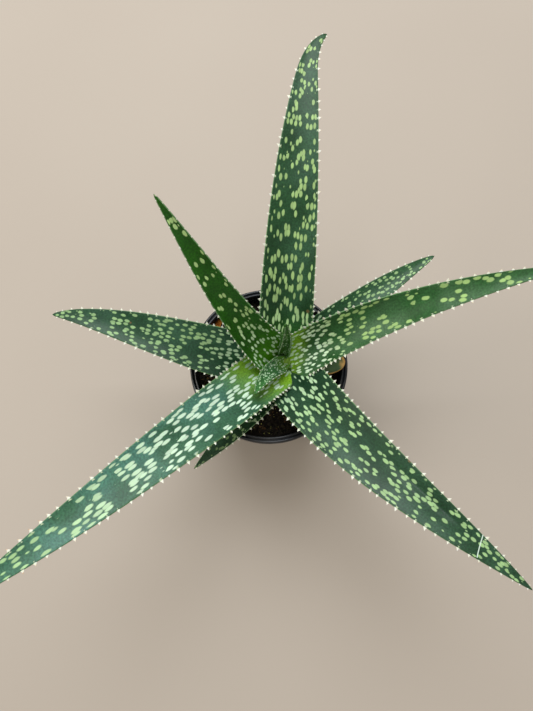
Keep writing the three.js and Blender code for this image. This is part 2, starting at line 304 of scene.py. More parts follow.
class Paint:
    """A new material, and short calls for the kinds of node that its finish is mixed from.

    A colour is given as an sRGB hex value, or as the socket that it comes from.

    Attributes:
        material: The material.
        tree: Its node tree.
    """

    def __init__(self, name: str) -> None:
        """Make the material with an empty node tree.

        Args:
            name: The material's name.
        """
        self.material = bpy.data.materials.new(name)
        self.material.use_nodes = True
        self.tree = self.material.node_tree
        self.tree.nodes.clear()

    def place(self) -> Socket:
        """Return the object's own coordinates, in metres."""
        return add_node(self.tree, "TexCoord").outputs["Object"]

    def chart(self, name: str) -> Socket:
        """Return one of the mesh's flat maps."""
        return add_node(self.tree, "UVMap", uv_map=name).outputs["UV"]

    def point_value(self, name: str) -> Socket:
        """Return a number that the mesh holds at its points."""
        return add_node(self.tree, "Attribute", attribute_name=name).outputs["Fac"]

    def clouds(self, place: Socket, scale: float, detail: float) -> Socket:
        """Return clouds in space, with a number of finer layers."""
        inputs = {"Vector": place, "Scale": scale, "Detail": detail}
        return add_node(self.tree, "TexNoise", inputs).outputs["Fac"]

    def flat_clouds(self, chart: Socket, scale: float, detail: float, output: str = "Fac") -> Socket:
        """Return clouds on a flat map, with a number of finer layers."""
        inputs = {"Vector": chart, "Scale": scale, "Detail": detail}
        return add_node(self.tree, "TexNoise", inputs, noise_dimensions="2D").outputs[output]

    def span(
        self, value: Socket, low: float, high: float, start: float = 0.0, end: float = 1.0,
        eased: bool = False
    ) -> Socket:
        """Map a value from one span to another, and hold it at the ends.

        Args:
            value: The value.
            low: Where its own span starts.
            high: Where that span ends.
            start: What low becomes.
            end: What high becomes.
            eased: Whether it eases in and out.

        Returns:
            The mapped value.
        """
        inputs = {"Value": value, "From Min": low, "From Max": high, "To Min": start, "To Max": end}
        kind = "SMOOTHSTEP" if eased else "LINEAR"
        return add_node(self.tree, "MapRange", inputs, interpolation_type=kind).outputs["Result"]

    def maths(self, operation: str, *values: Socket | float) -> Socket:
        """Return the result of one operation on numbers."""
        return add_node(self.tree, "Math", dict(enumerate(values)), operation=operation).outputs[0]

    def vectors(self, operation: str, *values: Socket | Triple) -> Socket:
        """Return the vector that one operation on vectors gives."""
        return add_node(self.tree, "VectorMath", dict(enumerate(values)), operation=operation).outputs[0]

    def scaled(self, vector: Socket, factor: Socket) -> Socket:
        """Return a vector or colour times a number."""
        return add_node(self.tree, "VectorMath", {0: vector, "Scale": factor}, operation="SCALE").outputs[0]

    def mix(self, share: Socket, first: Socket | str, second: Socket | str) -> Socket:
        """Return the colour that lies a share of the way from the first to the second."""
        ends = [linear(end) if isinstance(end, str) else end for end in (first, second)]
        inputs = {FACTOR: share, FIRST: ends[0], SECOND: ends[1]}
        return add_node(self.tree, "Mix", inputs, data_type="RGBA").outputs[MIXED]

    def bump(self, height: Socket, strength: float, depth: float) -> Socket:
        """Return the normals of a relief that is so many millimetres deep."""
        inputs = {"Strength": strength, "Distance": depth * MM, "Height": height}
        return add_node(self.tree, "Bump", inputs).outputs["Normal"]

    def close(self, inputs: Inputs) -> bpy.types.Material:
        """Send a Principled surface with these inputs to the output, and return the material."""
        shader = add_node(self.tree, "BsdfPrincipled", inputs)
        add_node(self.tree, "OutputMaterial", {"Surface": shader.outputs["BSDF"]})
        return self.material


@dataclass(frozen=True)
class Scar:
    """A healed crack across a blade, as a fine pale line.

    Attributes:
        distance: How far from the leaf's foot it crosses the midrib, in millimetres.
        slant: Millimetres along the leaf for each one across it.
        reach: From the midrib's right to its left, in millimetres.
        width: Half the line's width in millimetres, at its full strength and where it ends.
        tone: Its colour.
    """

    distance: float
    slant: float
    reach: Pair
    width: Pair = (0.12, 0.42)
    tone: str = "#cfe3d2"


@dataclass(frozen=True)
class Blemish:
    """A small corky patch on a blade.

    Attributes:
        distance: Millimetres from the leaf's foot.
        across: Millimetres to the left of the midrib.
        radius: Its radius in millimetres.
        core: The share of the radius that has its full strength.
        strength: How much of the skin it hides.
        tone: Its colour.
    """

    distance: float
    across: float
    radius: float
    core: float = 0.6
    strength: float = 0.85
    tone: str = "#6d5a38"


@dataclass(frozen=True)
class SpotRule:
    """Where the pale spots of the skin lie: one oval in each cell of a jittered grid.

    Lengths are shares of a cell. Neighbouring cells are kept or dropped together, in clusters.

    Attributes:
        sway: How far the grid sways, across and along the leaf.
        sway_scale: How often it sways in a cell.
        jitter: How far an oval may stray from its cell's middle.
        cluster: Clusters in a cell, across and along.
        chance: How much a spot's own draw counts beside its cluster's.
        bar: The draw that a spot has to beat where none of the skin is covered, and where all is.
        growth: By how much it has to beat that to be full grown.
        radius: The smallest and largest radius.
        clear: From the midrib to the margin, where the spots start to shrink and where none is left.
        soft: Where an oval's soft edge starts outside it, and ends inside.
        tints: The darkest and the lightest spot against the mean.
    """

    sway: Pair = (0.2, 0.12)
    sway_scale: float = 1.3
    jitter: float = 0.84
    cluster: Pair = (0.33, 0.6)
    chance: float = 0.28
    bar: Pair = (0.84, 0.42)
    growth: float = 0.05
    radius: Pair = (0.34, 0.44)
    clear: Pair = (0.86, 0.97)
    soft: Pair = (-0.06, 0.12)
    tints: Pair = (0.85, 1.1)


@dataclass(frozen=True)
class LeafSkin:
    """Waxy cuticle of a succulent leaf, grown, not made.

    Smooth dark green with pale oval spots in loose cross-bands, longer and whiter near the foot.
    The wax gives it a soft broad sheen rather than a sharp highlight, and a faint blue-green tint that is
    partly the wax's own and partly painted sheen.

    Attributes:
        name: The finish's name.
        dark: Deepest green, between the spots.
        fresh: Lighter green of the same skin.
        foot: Yellow-green of the young tissue at the leaf's foot.
        foot_reach: How far the yellow-green reaches, in millimetres.
        foot_lean: How much farther it reaches on the right for each millimetre across.
        foot_fade: Where it starts to fade and where it ends, as shares of its reach.
        foot_rag: How far its ragged end varies, in millimetres.
        bloom_and_sheen: Blue-green of the wax where it lies thickest, partly the wax's own and partly
            painted sheen.
        bloom_and_sheen_share: How much of that blue-green shows, from 0 to 1.
        spot: Pale green of the spots.
        spot_foot: Whiter green of the spots near the foot.
        spot_foot_reach: How far the whiter spots reach, in millimetres.
        spot_foot_fade: Where they start to fade, as a share of that.
        spot_rule: Where the spots lie.
        margin: Horny pale line along the margins.
        margin_line: Where the line starts and where it is full, from the midrib to the margin.
        mottle: Patches of the two greens in a millimetre.
        wax: Patches of the blue-green tint in a millimetre.
        fibre: Streaks in a millimetre, across and along.
        pore: Pores and fibre ends in a millimetre, drawn coarser than the real ones so that they show.
        grain: Grains of the wax in a millimetre.
        gloss: Roughness where the wax is thick and where it is thin.
        scars: Healed cracks.
        blemishes: Corky patches.
    """

    name: str
    dark: str = "#1c3f26"
    fresh: str = "#2c5634"
    foot: str = "#5c8c1c"
    foot_reach: float = 16
    foot_lean: float = 0.0
    foot_fade: Pair = (0.45, 1.9)
    foot_rag: float = 14.0
    bloom_and_sheen: str = "#4a7059"
    bloom_and_sheen_share: float = 0.25
    spot: str = "#93b574"
    spot_foot: str = "#b9d3b4"
    spot_foot_reach: float = 60
    spot_foot_fade: float = 0.35
    spot_rule: SpotRule = SpotRule()
    margin: str = "#5f8455"
    margin_line: Pair = (0.975, 0.995)
    mottle: float = 0.06
    wax: float = 0.035
    fibre: Pair = (1.6, 0.05)
    pore: float = 0.8
    grain: float = 0.9
    gloss: Pair = (0.32, 0.5)
    scars: tuple[Scar, ...] = ()
    blemishes: tuple[Blemish, ...] = ()

    def material(self) -> bpy.types.Material:
        """Build the skin's material.

        Returns:
            The material, which reads the blade's two maps and its point values.
        """
        paint = Paint(self.name)
        place = paint.chart("blade")
        split = add_node(paint.tree, "SeparateXYZ", {"Vector": place})
        across, distance = split.outputs["X"], split.outputs["Y"]
        edge = paint.maths("ABSOLUTE", paint.point_value("side"))
        spots, draw = self._spots(paint, edge)
        whiter = paint.span(distance, self.spot_foot_reach * self.spot_foot_fade, self.spot_foot_reach,
                            1.0, 0.0, eased=True)
        tint = paint.span(draw, 0.0, 1.0, *self.spot_rule.tints)
        pale = paint.scaled(paint.mix(whiter, self.spot, self.spot_foot), tint)
        spotted = paint.mix(spots, self._ground(paint, place, across, distance), pale)
        lined = paint.mix(paint.span(edge, *self.margin_line), spotted, self.margin)
        grain = paint.flat_clouds(place, self.grain, 3.0)
        height = paint.maths("MULTIPLY_ADD", spots, 0.5, grain)
        return paint.close({
            "Base Color": self._marks(paint, lined, across, distance),
            "Roughness": paint.span(grain, 0.0, 1.0, *self.gloss), "Normal": paint.bump(height, 0.35, 0.25),
            "Subsurface Weight": 0.12, "Subsurface Radius": (0.5, 1.0, 0.25), "Subsurface Scale": 1.5 * MM,
            "Specular IOR Level": 0.22, "Coat Weight": 0.05, "Coat Roughness": 0.3})

    def _spots(self, paint: Paint, edge: Socket) -> tuple[Socket, Socket]:
        """Draw the spots by their rule.

        Args:
            paint: The material so far.
            edge: How near the margin a point is, from 0 to 1.

        Returns:
            The spots' mask, and a random number for each spot.
        """
        rule = self.spot_rule
        cells = paint.chart("cells")
        wave = paint.flat_clouds(cells, rule.sway_scale, 1.0, "Color")
        centred = paint.vectors("SUBTRACT", wave, (0.5, 0.5, 0.5))
        swayed = paint.vectors("MULTIPLY_ADD", centred, (*rule.sway, 0.0), cells)
        inputs = {"Vector": swayed, "Scale": 1.0, "Randomness": rule.jitter}
        oval = add_node(paint.tree, "TexVoronoi", inputs, voronoi_dimensions="2D", feature="F1")
        draws = add_node(paint.tree, "SeparateColor", {"Color": oval.outputs["Color"]})
        spread = paint.vectors("MULTIPLY", oval.outputs["Position"], (*rule.cluster, 0.0))
        chance = paint.maths("MULTIPLY_ADD", draws.outputs["Green"], rule.chance,
                             paint.flat_clouds(spread, 1.0, 1.0))
        bar = paint.span(paint.point_value("cover"), 0.0, 1.0, *rule.bar)
        grown = paint.span(paint.maths("SUBTRACT", chance, bar), 0.0, rule.growth)
        radius = paint.maths("MULTIPLY", paint.span(draws.outputs["Red"], 0.0, 1.0, *rule.radius), grown)
        fitted = paint.maths("MULTIPLY", radius, paint.span(edge, *rule.clear, 1.0, 0.0))
        inside = paint.maths("SUBTRACT", fitted, oval.outputs["Distance"])
        return paint.span(inside, *rule.soft, eased=True), draws.outputs["Blue"]

    def _ground(self, paint: Paint, place: Socket, across: Socket, distance: Socket) -> Socket:
        """Mix the greens between the spots.

        Args:
            paint: The material so far.
            place: Millimetres across and along the blade.
            across: Millimetres across it.
            distance: Millimetres along it.

        Returns:
            The ground colour.
        """
        # Clouds lie round 0.5, so a span from about 0.3 to 0.7 takes in nearly all of them
        patches = paint.span(paint.flat_clouds(place, self.mottle, 3.0), 0.3, 0.7)
        green = paint.mix(patches, self.dark, self.fresh)
        fibre = paint.vectors("MULTIPLY", place, (*self.fibre, 0.0))
        streak = paint.flat_clouds(fibre, 1.0, 2.0)
        streaked = paint.mix(paint.span(streak, 0.35, 0.75, 0.0, 0.3), green, self.fresh)
        # Blue-green patches: partly the wax's own tint and partly painted sheen, where the sky glints on the
        # skin
        wax = paint.span(paint.flat_clouds(place, self.wax, 1.0), 0.42, 0.68, 0.0, self.bloom_and_sheen_share)
        bloom_and_sheen_tinted = paint.mix(wax, streaked, self.bloom_and_sheen)
        leaned = paint.maths("MULTIPLY_ADD", across, self.foot_lean, distance)
        ragged = paint.maths("MULTIPLY_ADD", streak, self.foot_rag, leaned)
        start, end = self.foot_fade
        young = paint.span(ragged, self.foot_reach * start, self.foot_reach * end, 1.0, 0.0, eased=True)
        pores = paint.span(paint.flat_clouds(place, self.pore, 2.0), 0.3, 0.7, 0.74, 1.2)
        return paint.scaled(paint.mix(young, bloom_and_sheen_tinted, self.foot), pores)

    def _marks(self, paint: Paint, colour: Socket, across: Socket, distance: Socket) -> Socket:
        """Add this leaf's own scars and corky patches.

        Args:
            paint: The material so far.
            colour: The skin's colour.
            across: Millimetres across the blade.
            distance: Millimetres along the blade.

        Returns:
            The colour with the marks on it.
        """
        for scar in self.scars:
            line = paint.maths("MULTIPLY_ADD", across, scar.slant, scar.distance)
            away = paint.maths("ABSOLUTE", paint.maths("SUBTRACT", distance, line))
            middle, half = sum(scar.reach) / 2, (scar.reach[1] - scar.reach[0]) / 2
            within = paint.maths("COMPARE", across, middle, half)
            shown = paint.maths("MULTIPLY", paint.span(away, *scar.width, 1.0, 0.0), within)
            colour = paint.mix(shown, colour, scar.tone)
        for patch in self.blemishes:
            spot = add_node(paint.tree, "CombineXYZ", {"X": across, "Y": distance}).outputs[0]
            apart = add_node(paint.tree, "VectorMath", {0: spot, 1: (patch.across, patch.distance, 0.0)},
                             operation="DISTANCE").outputs["Value"]
            ring = paint.span(apart, patch.radius * patch.core, patch.radius, patch.strength, 0.0)
            colour = paint.mix(ring, colour, patch.tone)
        return colour


@dataclass(frozen=True)
class TornLeafSkin:
    """Skin of an old leaf that has lost its end, drying from the wound and the margins.

    Dull olive that turns to straw yellow and rust brown at the dry rim, with no wax left to shine.

    Attributes:
        name: The finish's name.
        olive: The skin that is still alive.
        deep: Its darker patches.
        straw: The dry rim.
        rust: The scab at the torn end.
        blotch: Patches in a millimetre.
        dry_end: Where the drying starts and where it is full, along the leaf.
        dry_edge: The same from the midrib to the margin.
    """

    name: str
    olive: str = "#3c5c17"
    deep: str = "#20400f"
    straw: str = "#b98f45"
    rust: str = "#7d3f14"
    blotch: float = 0.22
    dry_end: Pair = (0.84, 1.02)
    dry_edge: Pair = (0.82, 1.02)

    def material(self) -> bpy.types.Material:
        """Build the old leaf's material.

        Returns:
            The material, which reads the blade's map and its point values.
        """
        paint = Paint(self.name)
        blotch = paint.flat_clouds(paint.chart("blade"), self.blotch, 4.0)
        edge = paint.maths("ABSOLUTE", paint.point_value("side"))
        dry = paint.maths("MAXIMUM", paint.span(paint.point_value("share"), *self.dry_end),
                          paint.span(edge, *self.dry_edge))
        uneven = paint.maths("MULTIPLY_ADD", blotch, 0.9, dry)
        living = paint.mix(blotch, self.deep, self.olive)
        straw = paint.mix(paint.span(uneven, 0.75, 1.15), living, self.straw)
        colour = paint.mix(paint.span(uneven, 1.25, 1.5), straw, self.rust)
        return paint.close({"Base Color": colour, "Roughness": 0.62, "Normal": paint.bump(blotch, 0.6, 0.6)})


@dataclass(frozen=True)
class ToothHorn:
    """Horny tissue of the marginal teeth.

    Opaque cream, green where it grows from the margin and tanned at the point on the older teeth.

    Attributes:
        name: The finish's name.
        root: Where the tooth leaves the leaf.
        cream: Its flanks.
        tan: The point of an old tooth.
        flank_from: Where the green ends and the cream is full, from the root to the point.
        point_from: Where the tan starts and is full.
    """

    name: str = "tooth_horn"
    root: str = "#a9bd92"
    cream: str = "#e2e4d2"
    tan: str = "#b98350"
    flank_from: Pair = (0.28, 0.45)
    point_from: Pair = (0.6, 0.95)

    def material(self) -> bpy.types.Material:
        """Build the teeth's material.

        Returns:
            The material, which reads the teeth's point values.
        """
        paint = Paint(self.name)
        height = paint.point_value("tooth_height")
        flank = paint.mix(paint.span(height, *self.flank_from), self.root, self.cream)
        point = paint.span(height, *self.point_from)
        tanned = paint.maths("MULTIPLY", point, paint.point_value("tooth_age"))
        return paint.close({
            "Base Color": paint.mix(tanned, flank, self.tan), "Roughness": 0.42, "Subsurface Weight": 0.25,
            "Subsurface Radius": (1.0, 0.9, 0.6), "Subsurface Scale": 0.8 * MM})


@dataclass(frozen=True)
class MouldedPolypropylene:
    """Black polypropylene, injection moulded, as thin nursery pots are.

    Near black with a satin skin that mirrors a pale sky in long soft streaks round the lip, and a
    little dried dust on the parts that water reaches.

    Attributes:
        name: The finish's name.
        black: The plastic, near black with a slight blue tint that is painted reflection of the sky.
        dust: Lime and dust dried on it.
        dust_patch: Size of a patch of dust, in millimetres.
        texture: Grain of the mould's etched skin, in millimetres.
        ior: Polypropylene's index of refraction.
    """

    name: str = "moulded_polypropylene"
    # Painted reflection: the slight blue in this near black stands in for the sky mirrored in the plastic
    black: str = "#12151b"
    dust: str = "#5c5a55"
    dust_patch: float = 1000 / 45
    texture: float = 0.6
    ior: float = 1.49

    def material(self) -> bpy.types.Material:
        """Build the pot's material.

        Returns:
            The material.
        """
        paint = Paint(self.name)
        place = paint.place()
        drift = paint.clouds(place, 1 / (self.dust_patch * MM), 5.0)
        grain = paint.clouds(place, 1 / (self.texture * MM), 2.0)
        return paint.close({
            "Base Color": paint.mix(paint.span(drift, 0.55, 0.8, 0.0, 0.3), self.black, self.dust),
            "Roughness": paint.span(drift, 0.35, 0.75, 0.24, 0.5), "Normal": paint.bump(grain, 0.15, 0.08),
            "IOR": self.ior})


@dataclass(frozen=True)
class DampMatter:
    """Loose damp matter of a potting mix: peat, composted bark or plant fibre.

    Rough, dull and dark with water, each bit of a slightly different brown.

    Attributes:
        name: The finish's name.
        dark: The darkest bits.
        light: The lightest bits.
        patch: Size of a patch of one tone, in millimetres.
        roughness: How dull it is.
    """

    name: str
    dark: str
    light: str
    patch: float
    roughness: float = 0.9

    def material(self) -> bpy.types.Material:
        """Build the material, which is pitted four times as finely as it is patched.

        Returns:
            The material.
        """
        paint = Paint(self.name)
        place = paint.place()
        tone = paint.clouds(place, 1 / (self.patch * MM), 3.0)
        pitted = paint.clouds(place, 4 / (self.patch * MM), 4.0)
        return paint.close({
            "Base Color": paint.mix(paint.span(tone, 0.35, 0.7), self.dark, self.light),
            "Roughness": self.roughness, "Normal": paint.bump(pitted, 0.8, 0.4), "Specular IOR Level": 0.3})


@dataclass(frozen=True)
class StemSkin:
    """Short stem of an aloe, green above and corky where old leaves have dropped.

    Dull, ringed by leaf scars a few millimetres apart.

    Attributes:
        name: The finish's name.
        cork: The dry lower part.
        green: The living upper part.
        scar: The dark ring of a leaf scar.
        scar_step: From one leaf scar to the next, in millimetres.
        green_from: Height where the green starts, in millimetres.
        green_fade: Over how many millimetres it sets in.
    """

    name: str = "stem_skin"
    cork: str = "#5b4a2c"
    green: str = "#8fb545"
    scar: str = "#2b2112"
    scar_step: float = 3.4
    green_from: float = 88
    green_fade: float = 8

    def material(self) -> bpy.types.Material:
        """Build the stem's material. A wave texture whose scale is 1 repeats every 0.314 units.

        Returns:
            The material.
        """
        paint = Paint(self.name)
        place = paint.place()
        rings = add_node(paint.tree, "TexWave", {
            "Vector": place, "Scale": 0.314 / (self.scar_step * MM), "Distortion": 2.5, "Detail": 2.0,
            "Detail Scale": 3.0}, bands_direction="Z").outputs["Fac"]
        height = add_node(paint.tree, "SeparateXYZ", {"Vector": place}).outputs["Z"]
        living = paint.span(height, self.green_from * MM, (self.green_from + self.green_fade) * MM)
        worn = paint.span(rings, 0.0, 1.0, 0.45, 0.0)
        return paint.close({
            "Base Color": paint.mix(worn, paint.mix(living, self.cork, self.green), self.scar),
            "Roughness": 0.75, "Normal": paint.bump(rings, 0.7, 0.6)})


@dataclass(frozen=True)
class PalePaper:
    """Matt paper backdrop that the pot stands on, plain and pale.

    Attributes:
        name: The finish's name.
        tone: The paper.
        shade: Its faint clouds.
        cloud: Size of a cloud, in millimetres.
    """

    name: str = "pale_paper"
    tone: str = "#b8aea1"
    shade: str = "#afa497"
    cloud: float = 1000 / 3

    def material(self) -> bpy.types.Material:
        """Build the floor's material.

        Returns:
            The material.
        """
        paint = Paint(self.name)
        cloud = paint.clouds(paint.place(), 1 / (self.cloud * MM), 2.0)
        return paint.close({"Base Color": paint.mix(cloud, self.tone, self.shade), "Roughness": 0.85})


@dataclass
class NurseryPot:
    """Round nursery pot with a rolled lip, a collar below it and drainage holes.

    Sizes are in millimetres.
    """

    height: float = 95
    rim_radius: float = 55
    base_radius: float = 39
    wall: float = 1.2
    lip_width: float = 4.4
    lip_depth: float = 6
    lip_edge: float = 1.6
    collar_depth: float = 16
    collar_step: float = 1.4
    foot_groove: float = 0.8
    drain_holes: int = 8
    drain_radius: float = 4
    drain_circle: float = 30
    sides: int = 160
    finish: MouldedPolypropylene = field(default_factory=MouldedPolypropylene)

    @property
    def bore(self) -> float:
        """Radius inside the lip."""
        return self.rim_radius - self.lip_width

    @property
    def collar_bottom(self) -> float:
        """Height of the step below the collar."""
        return self.height - self.collar_depth

    def wall_radius(self, z: float) -> float:
        """Return the wall's outer radius at a height below the collar."""
        top = self.bore + self.wall - self.collar_step
        return blend(self.base_radius, top, z / self.collar_bottom)

    def profile(self) -> list[Pair]:
        """List the pot's rings, from its underside up the outside and down the inside.

        Returns:
            Radius and height of each ring in millimetres.
        """
        lip = self.height - self.lip_depth
        step = self.collar_bottom
        rim, top = self.rim_radius, self.height
        collar = self.bore + self.wall
        groove = self.foot_groove
        return [
            (self.base_radius - 6, 0.0), (self.base_radius - 5.6, 0.0), (self.base_radius - 1.5, 0.0),
            (self.base_radius - 0.4, 0.4), (self.base_radius, 1.5), (self.wall_radius(5), 5.0),
            (self.wall_radius(5.4) - groove * 0.4, 5.4), (self.wall_radius(6.4) - groove * 0.4, 6.4),
            (self.wall_radius(6.8), 6.8), (self.wall_radius(40), 40.0),
            (self.wall_radius(step - 1.5), step - 1.5), (self.wall_radius(step) + 0.4, step - 0.4),
            (collar - 0.3, step + 0.6), (collar, step + 1.2), (collar, lip - 0.5), (collar + 0.4, lip),
            (rim - 1.0, lip), (rim - 0.3, lip + 0.2), (rim, lip + 0.9), (rim, top - 1.4),
            (rim - 0.16, top - 0.7), (rim - 0.55, top - 0.2), (rim - 1.2, top),
            (rim - 1.8, top - 0.25), (rim - 2.2, top - 0.8), (rim - 2.5, top - 1.0),
            (rim - 2.8, top - 0.8), (rim - 3.2, top - 0.45), (rim - 3.7, top - 0.4),
            (rim - 4.15, top - 0.7), (self.bore, top - self.lip_edge),
            (self.bore - 0.1, top - 5), (self.bore - 0.45, top - 5.6), (self.bore - 0.25, top - 6.4),
            (self.bore - self.collar_step * 0.2, step + 1.0),
            (self.wall_radius(step - 1) - self.wall, step - 1.0),
            (self.wall_radius(40) - self.wall, 40.0), (self.base_radius - self.wall, 2.6),
            (self.base_radius - self.wall - 1.2, self.wall), (self.base_radius - 6, self.wall),
        ]

    def build(self) -> bpy.types.Object:
        """Model the pot and cut its drainage holes.

        Returns:
            The pot's object.
        """
        pot = turn("pot_body", self.profile(), self.sides)
        deselect_all()
        bpy.ops.mesh.primitive_cylinder_add(
            vertices=32, radius=self.drain_radius * MM, depth=4 * self.wall * MM)
        pattern = bpy.context.object
        drills = []
        for i in range(self.drain_holes):
            angle = 2 * math.pi * i / self.drain_holes
            x, y = self.drain_circle * math.cos(angle), self.drain_circle * math.sin(angle)
            drills.append(own_copy(pattern, Matrix.Translation(Vector((x, y, self.wall / 2)) * MM)))
        remove(pattern)
        drill = join(drills)
        apply_modifier(pot, "BOOLEAN", operation="DIFFERENCE", object=drill, solver="EXACT")
        remove(drill)
        smooth(pot, 40)
        return pot

    def dress(self, pot: bpy.types.Object) -> None:
        """Give the pot its plastic and tie it to the frame.

        Args:
            pot: The pot's object.
        """
        pot.data.materials.append(self.finish.material())
        hand_over(pot, "nursery_pot", ["pot"])


@dataclass
class Litter:
    """One kind of loose bit that lies on the soil.

    Sizes are in millimetres. A bit is modelled once and copied, each copy turned and sized anew.

    Attributes:
        name: The piece's name.
        finish: What it is made of.
        count: How many bits.
        size: The smallest and largest size.
        shape: Its length, width and height for a size of one.
        sunk: How much of its height lies in the soil.
        seed: Start of the random draws.
        push: How far its corners are pushed about, for a size of one.
        lean: How far it may lean, in radians.
        stretch: The shortest and longest stretch of a copy.
    """

    name: str
    finish: DampMatter
    count: int
    size: Pair
    shape: Triple
    sunk: float
    seed: int
    push: float = 0.14
    lean: float = 0.6
    stretch: Pair = (0.75, 1.25)

    def pattern(self) -> bpy.types.Object:
        """Model one bit, a lump with pushed-in sides.

        Returns:
            The bit, one unit across, at the origin.
        """
        deselect_all()
        bpy.ops.mesh.primitive_ico_sphere_add(subdivisions=1, radius=0.5)
        bit = bpy.context.object
        bpy.ops.object.mode_set(mode="EDIT")
        bpy.ops.mesh.select_all(action="SELECT")
        bpy.ops.transform.vertex_random(offset=self.push, seed=self.seed)
        bpy.ops.object.mode_set(mode="OBJECT")
        bit.data.transform(Matrix.Diagonal((*self.shape, 1.0)))
        return bit

    def scatter(self, places: Sequence[Vector]) -> bpy.types.Object:
        """Copy the bit to its places.

        Args:
            places: A point on the soil for each bit, in metres.

        Returns:
            All the bits, joined.
        """
        draw = random.Random(self.seed)
        bit = self.pattern()
        copies = []
        for place in places:
            size = blend(*self.size, draw.random() ** 2) * MM
            spin = Matrix.Rotation(draw.uniform(0, 2 * math.pi), 4, "Z")
            lean = Matrix.Rotation(draw.uniform(-self.lean, self.lean), 4, "X")
            stretch = Matrix.Diagonal((draw.uniform(*self.stretch), draw.uniform(*self.stretch), 1.0, 1.0))
            rest = Vector((0, 0, size * self.shape[2] * (0.5 - self.sunk)))
            copies.append(own_copy(
                bit, Matrix.Translation(place + rest) @ spin @ lean @ Matrix.Scale(size, 4) @ stretch))
        remove(bit)
        return join(copies)


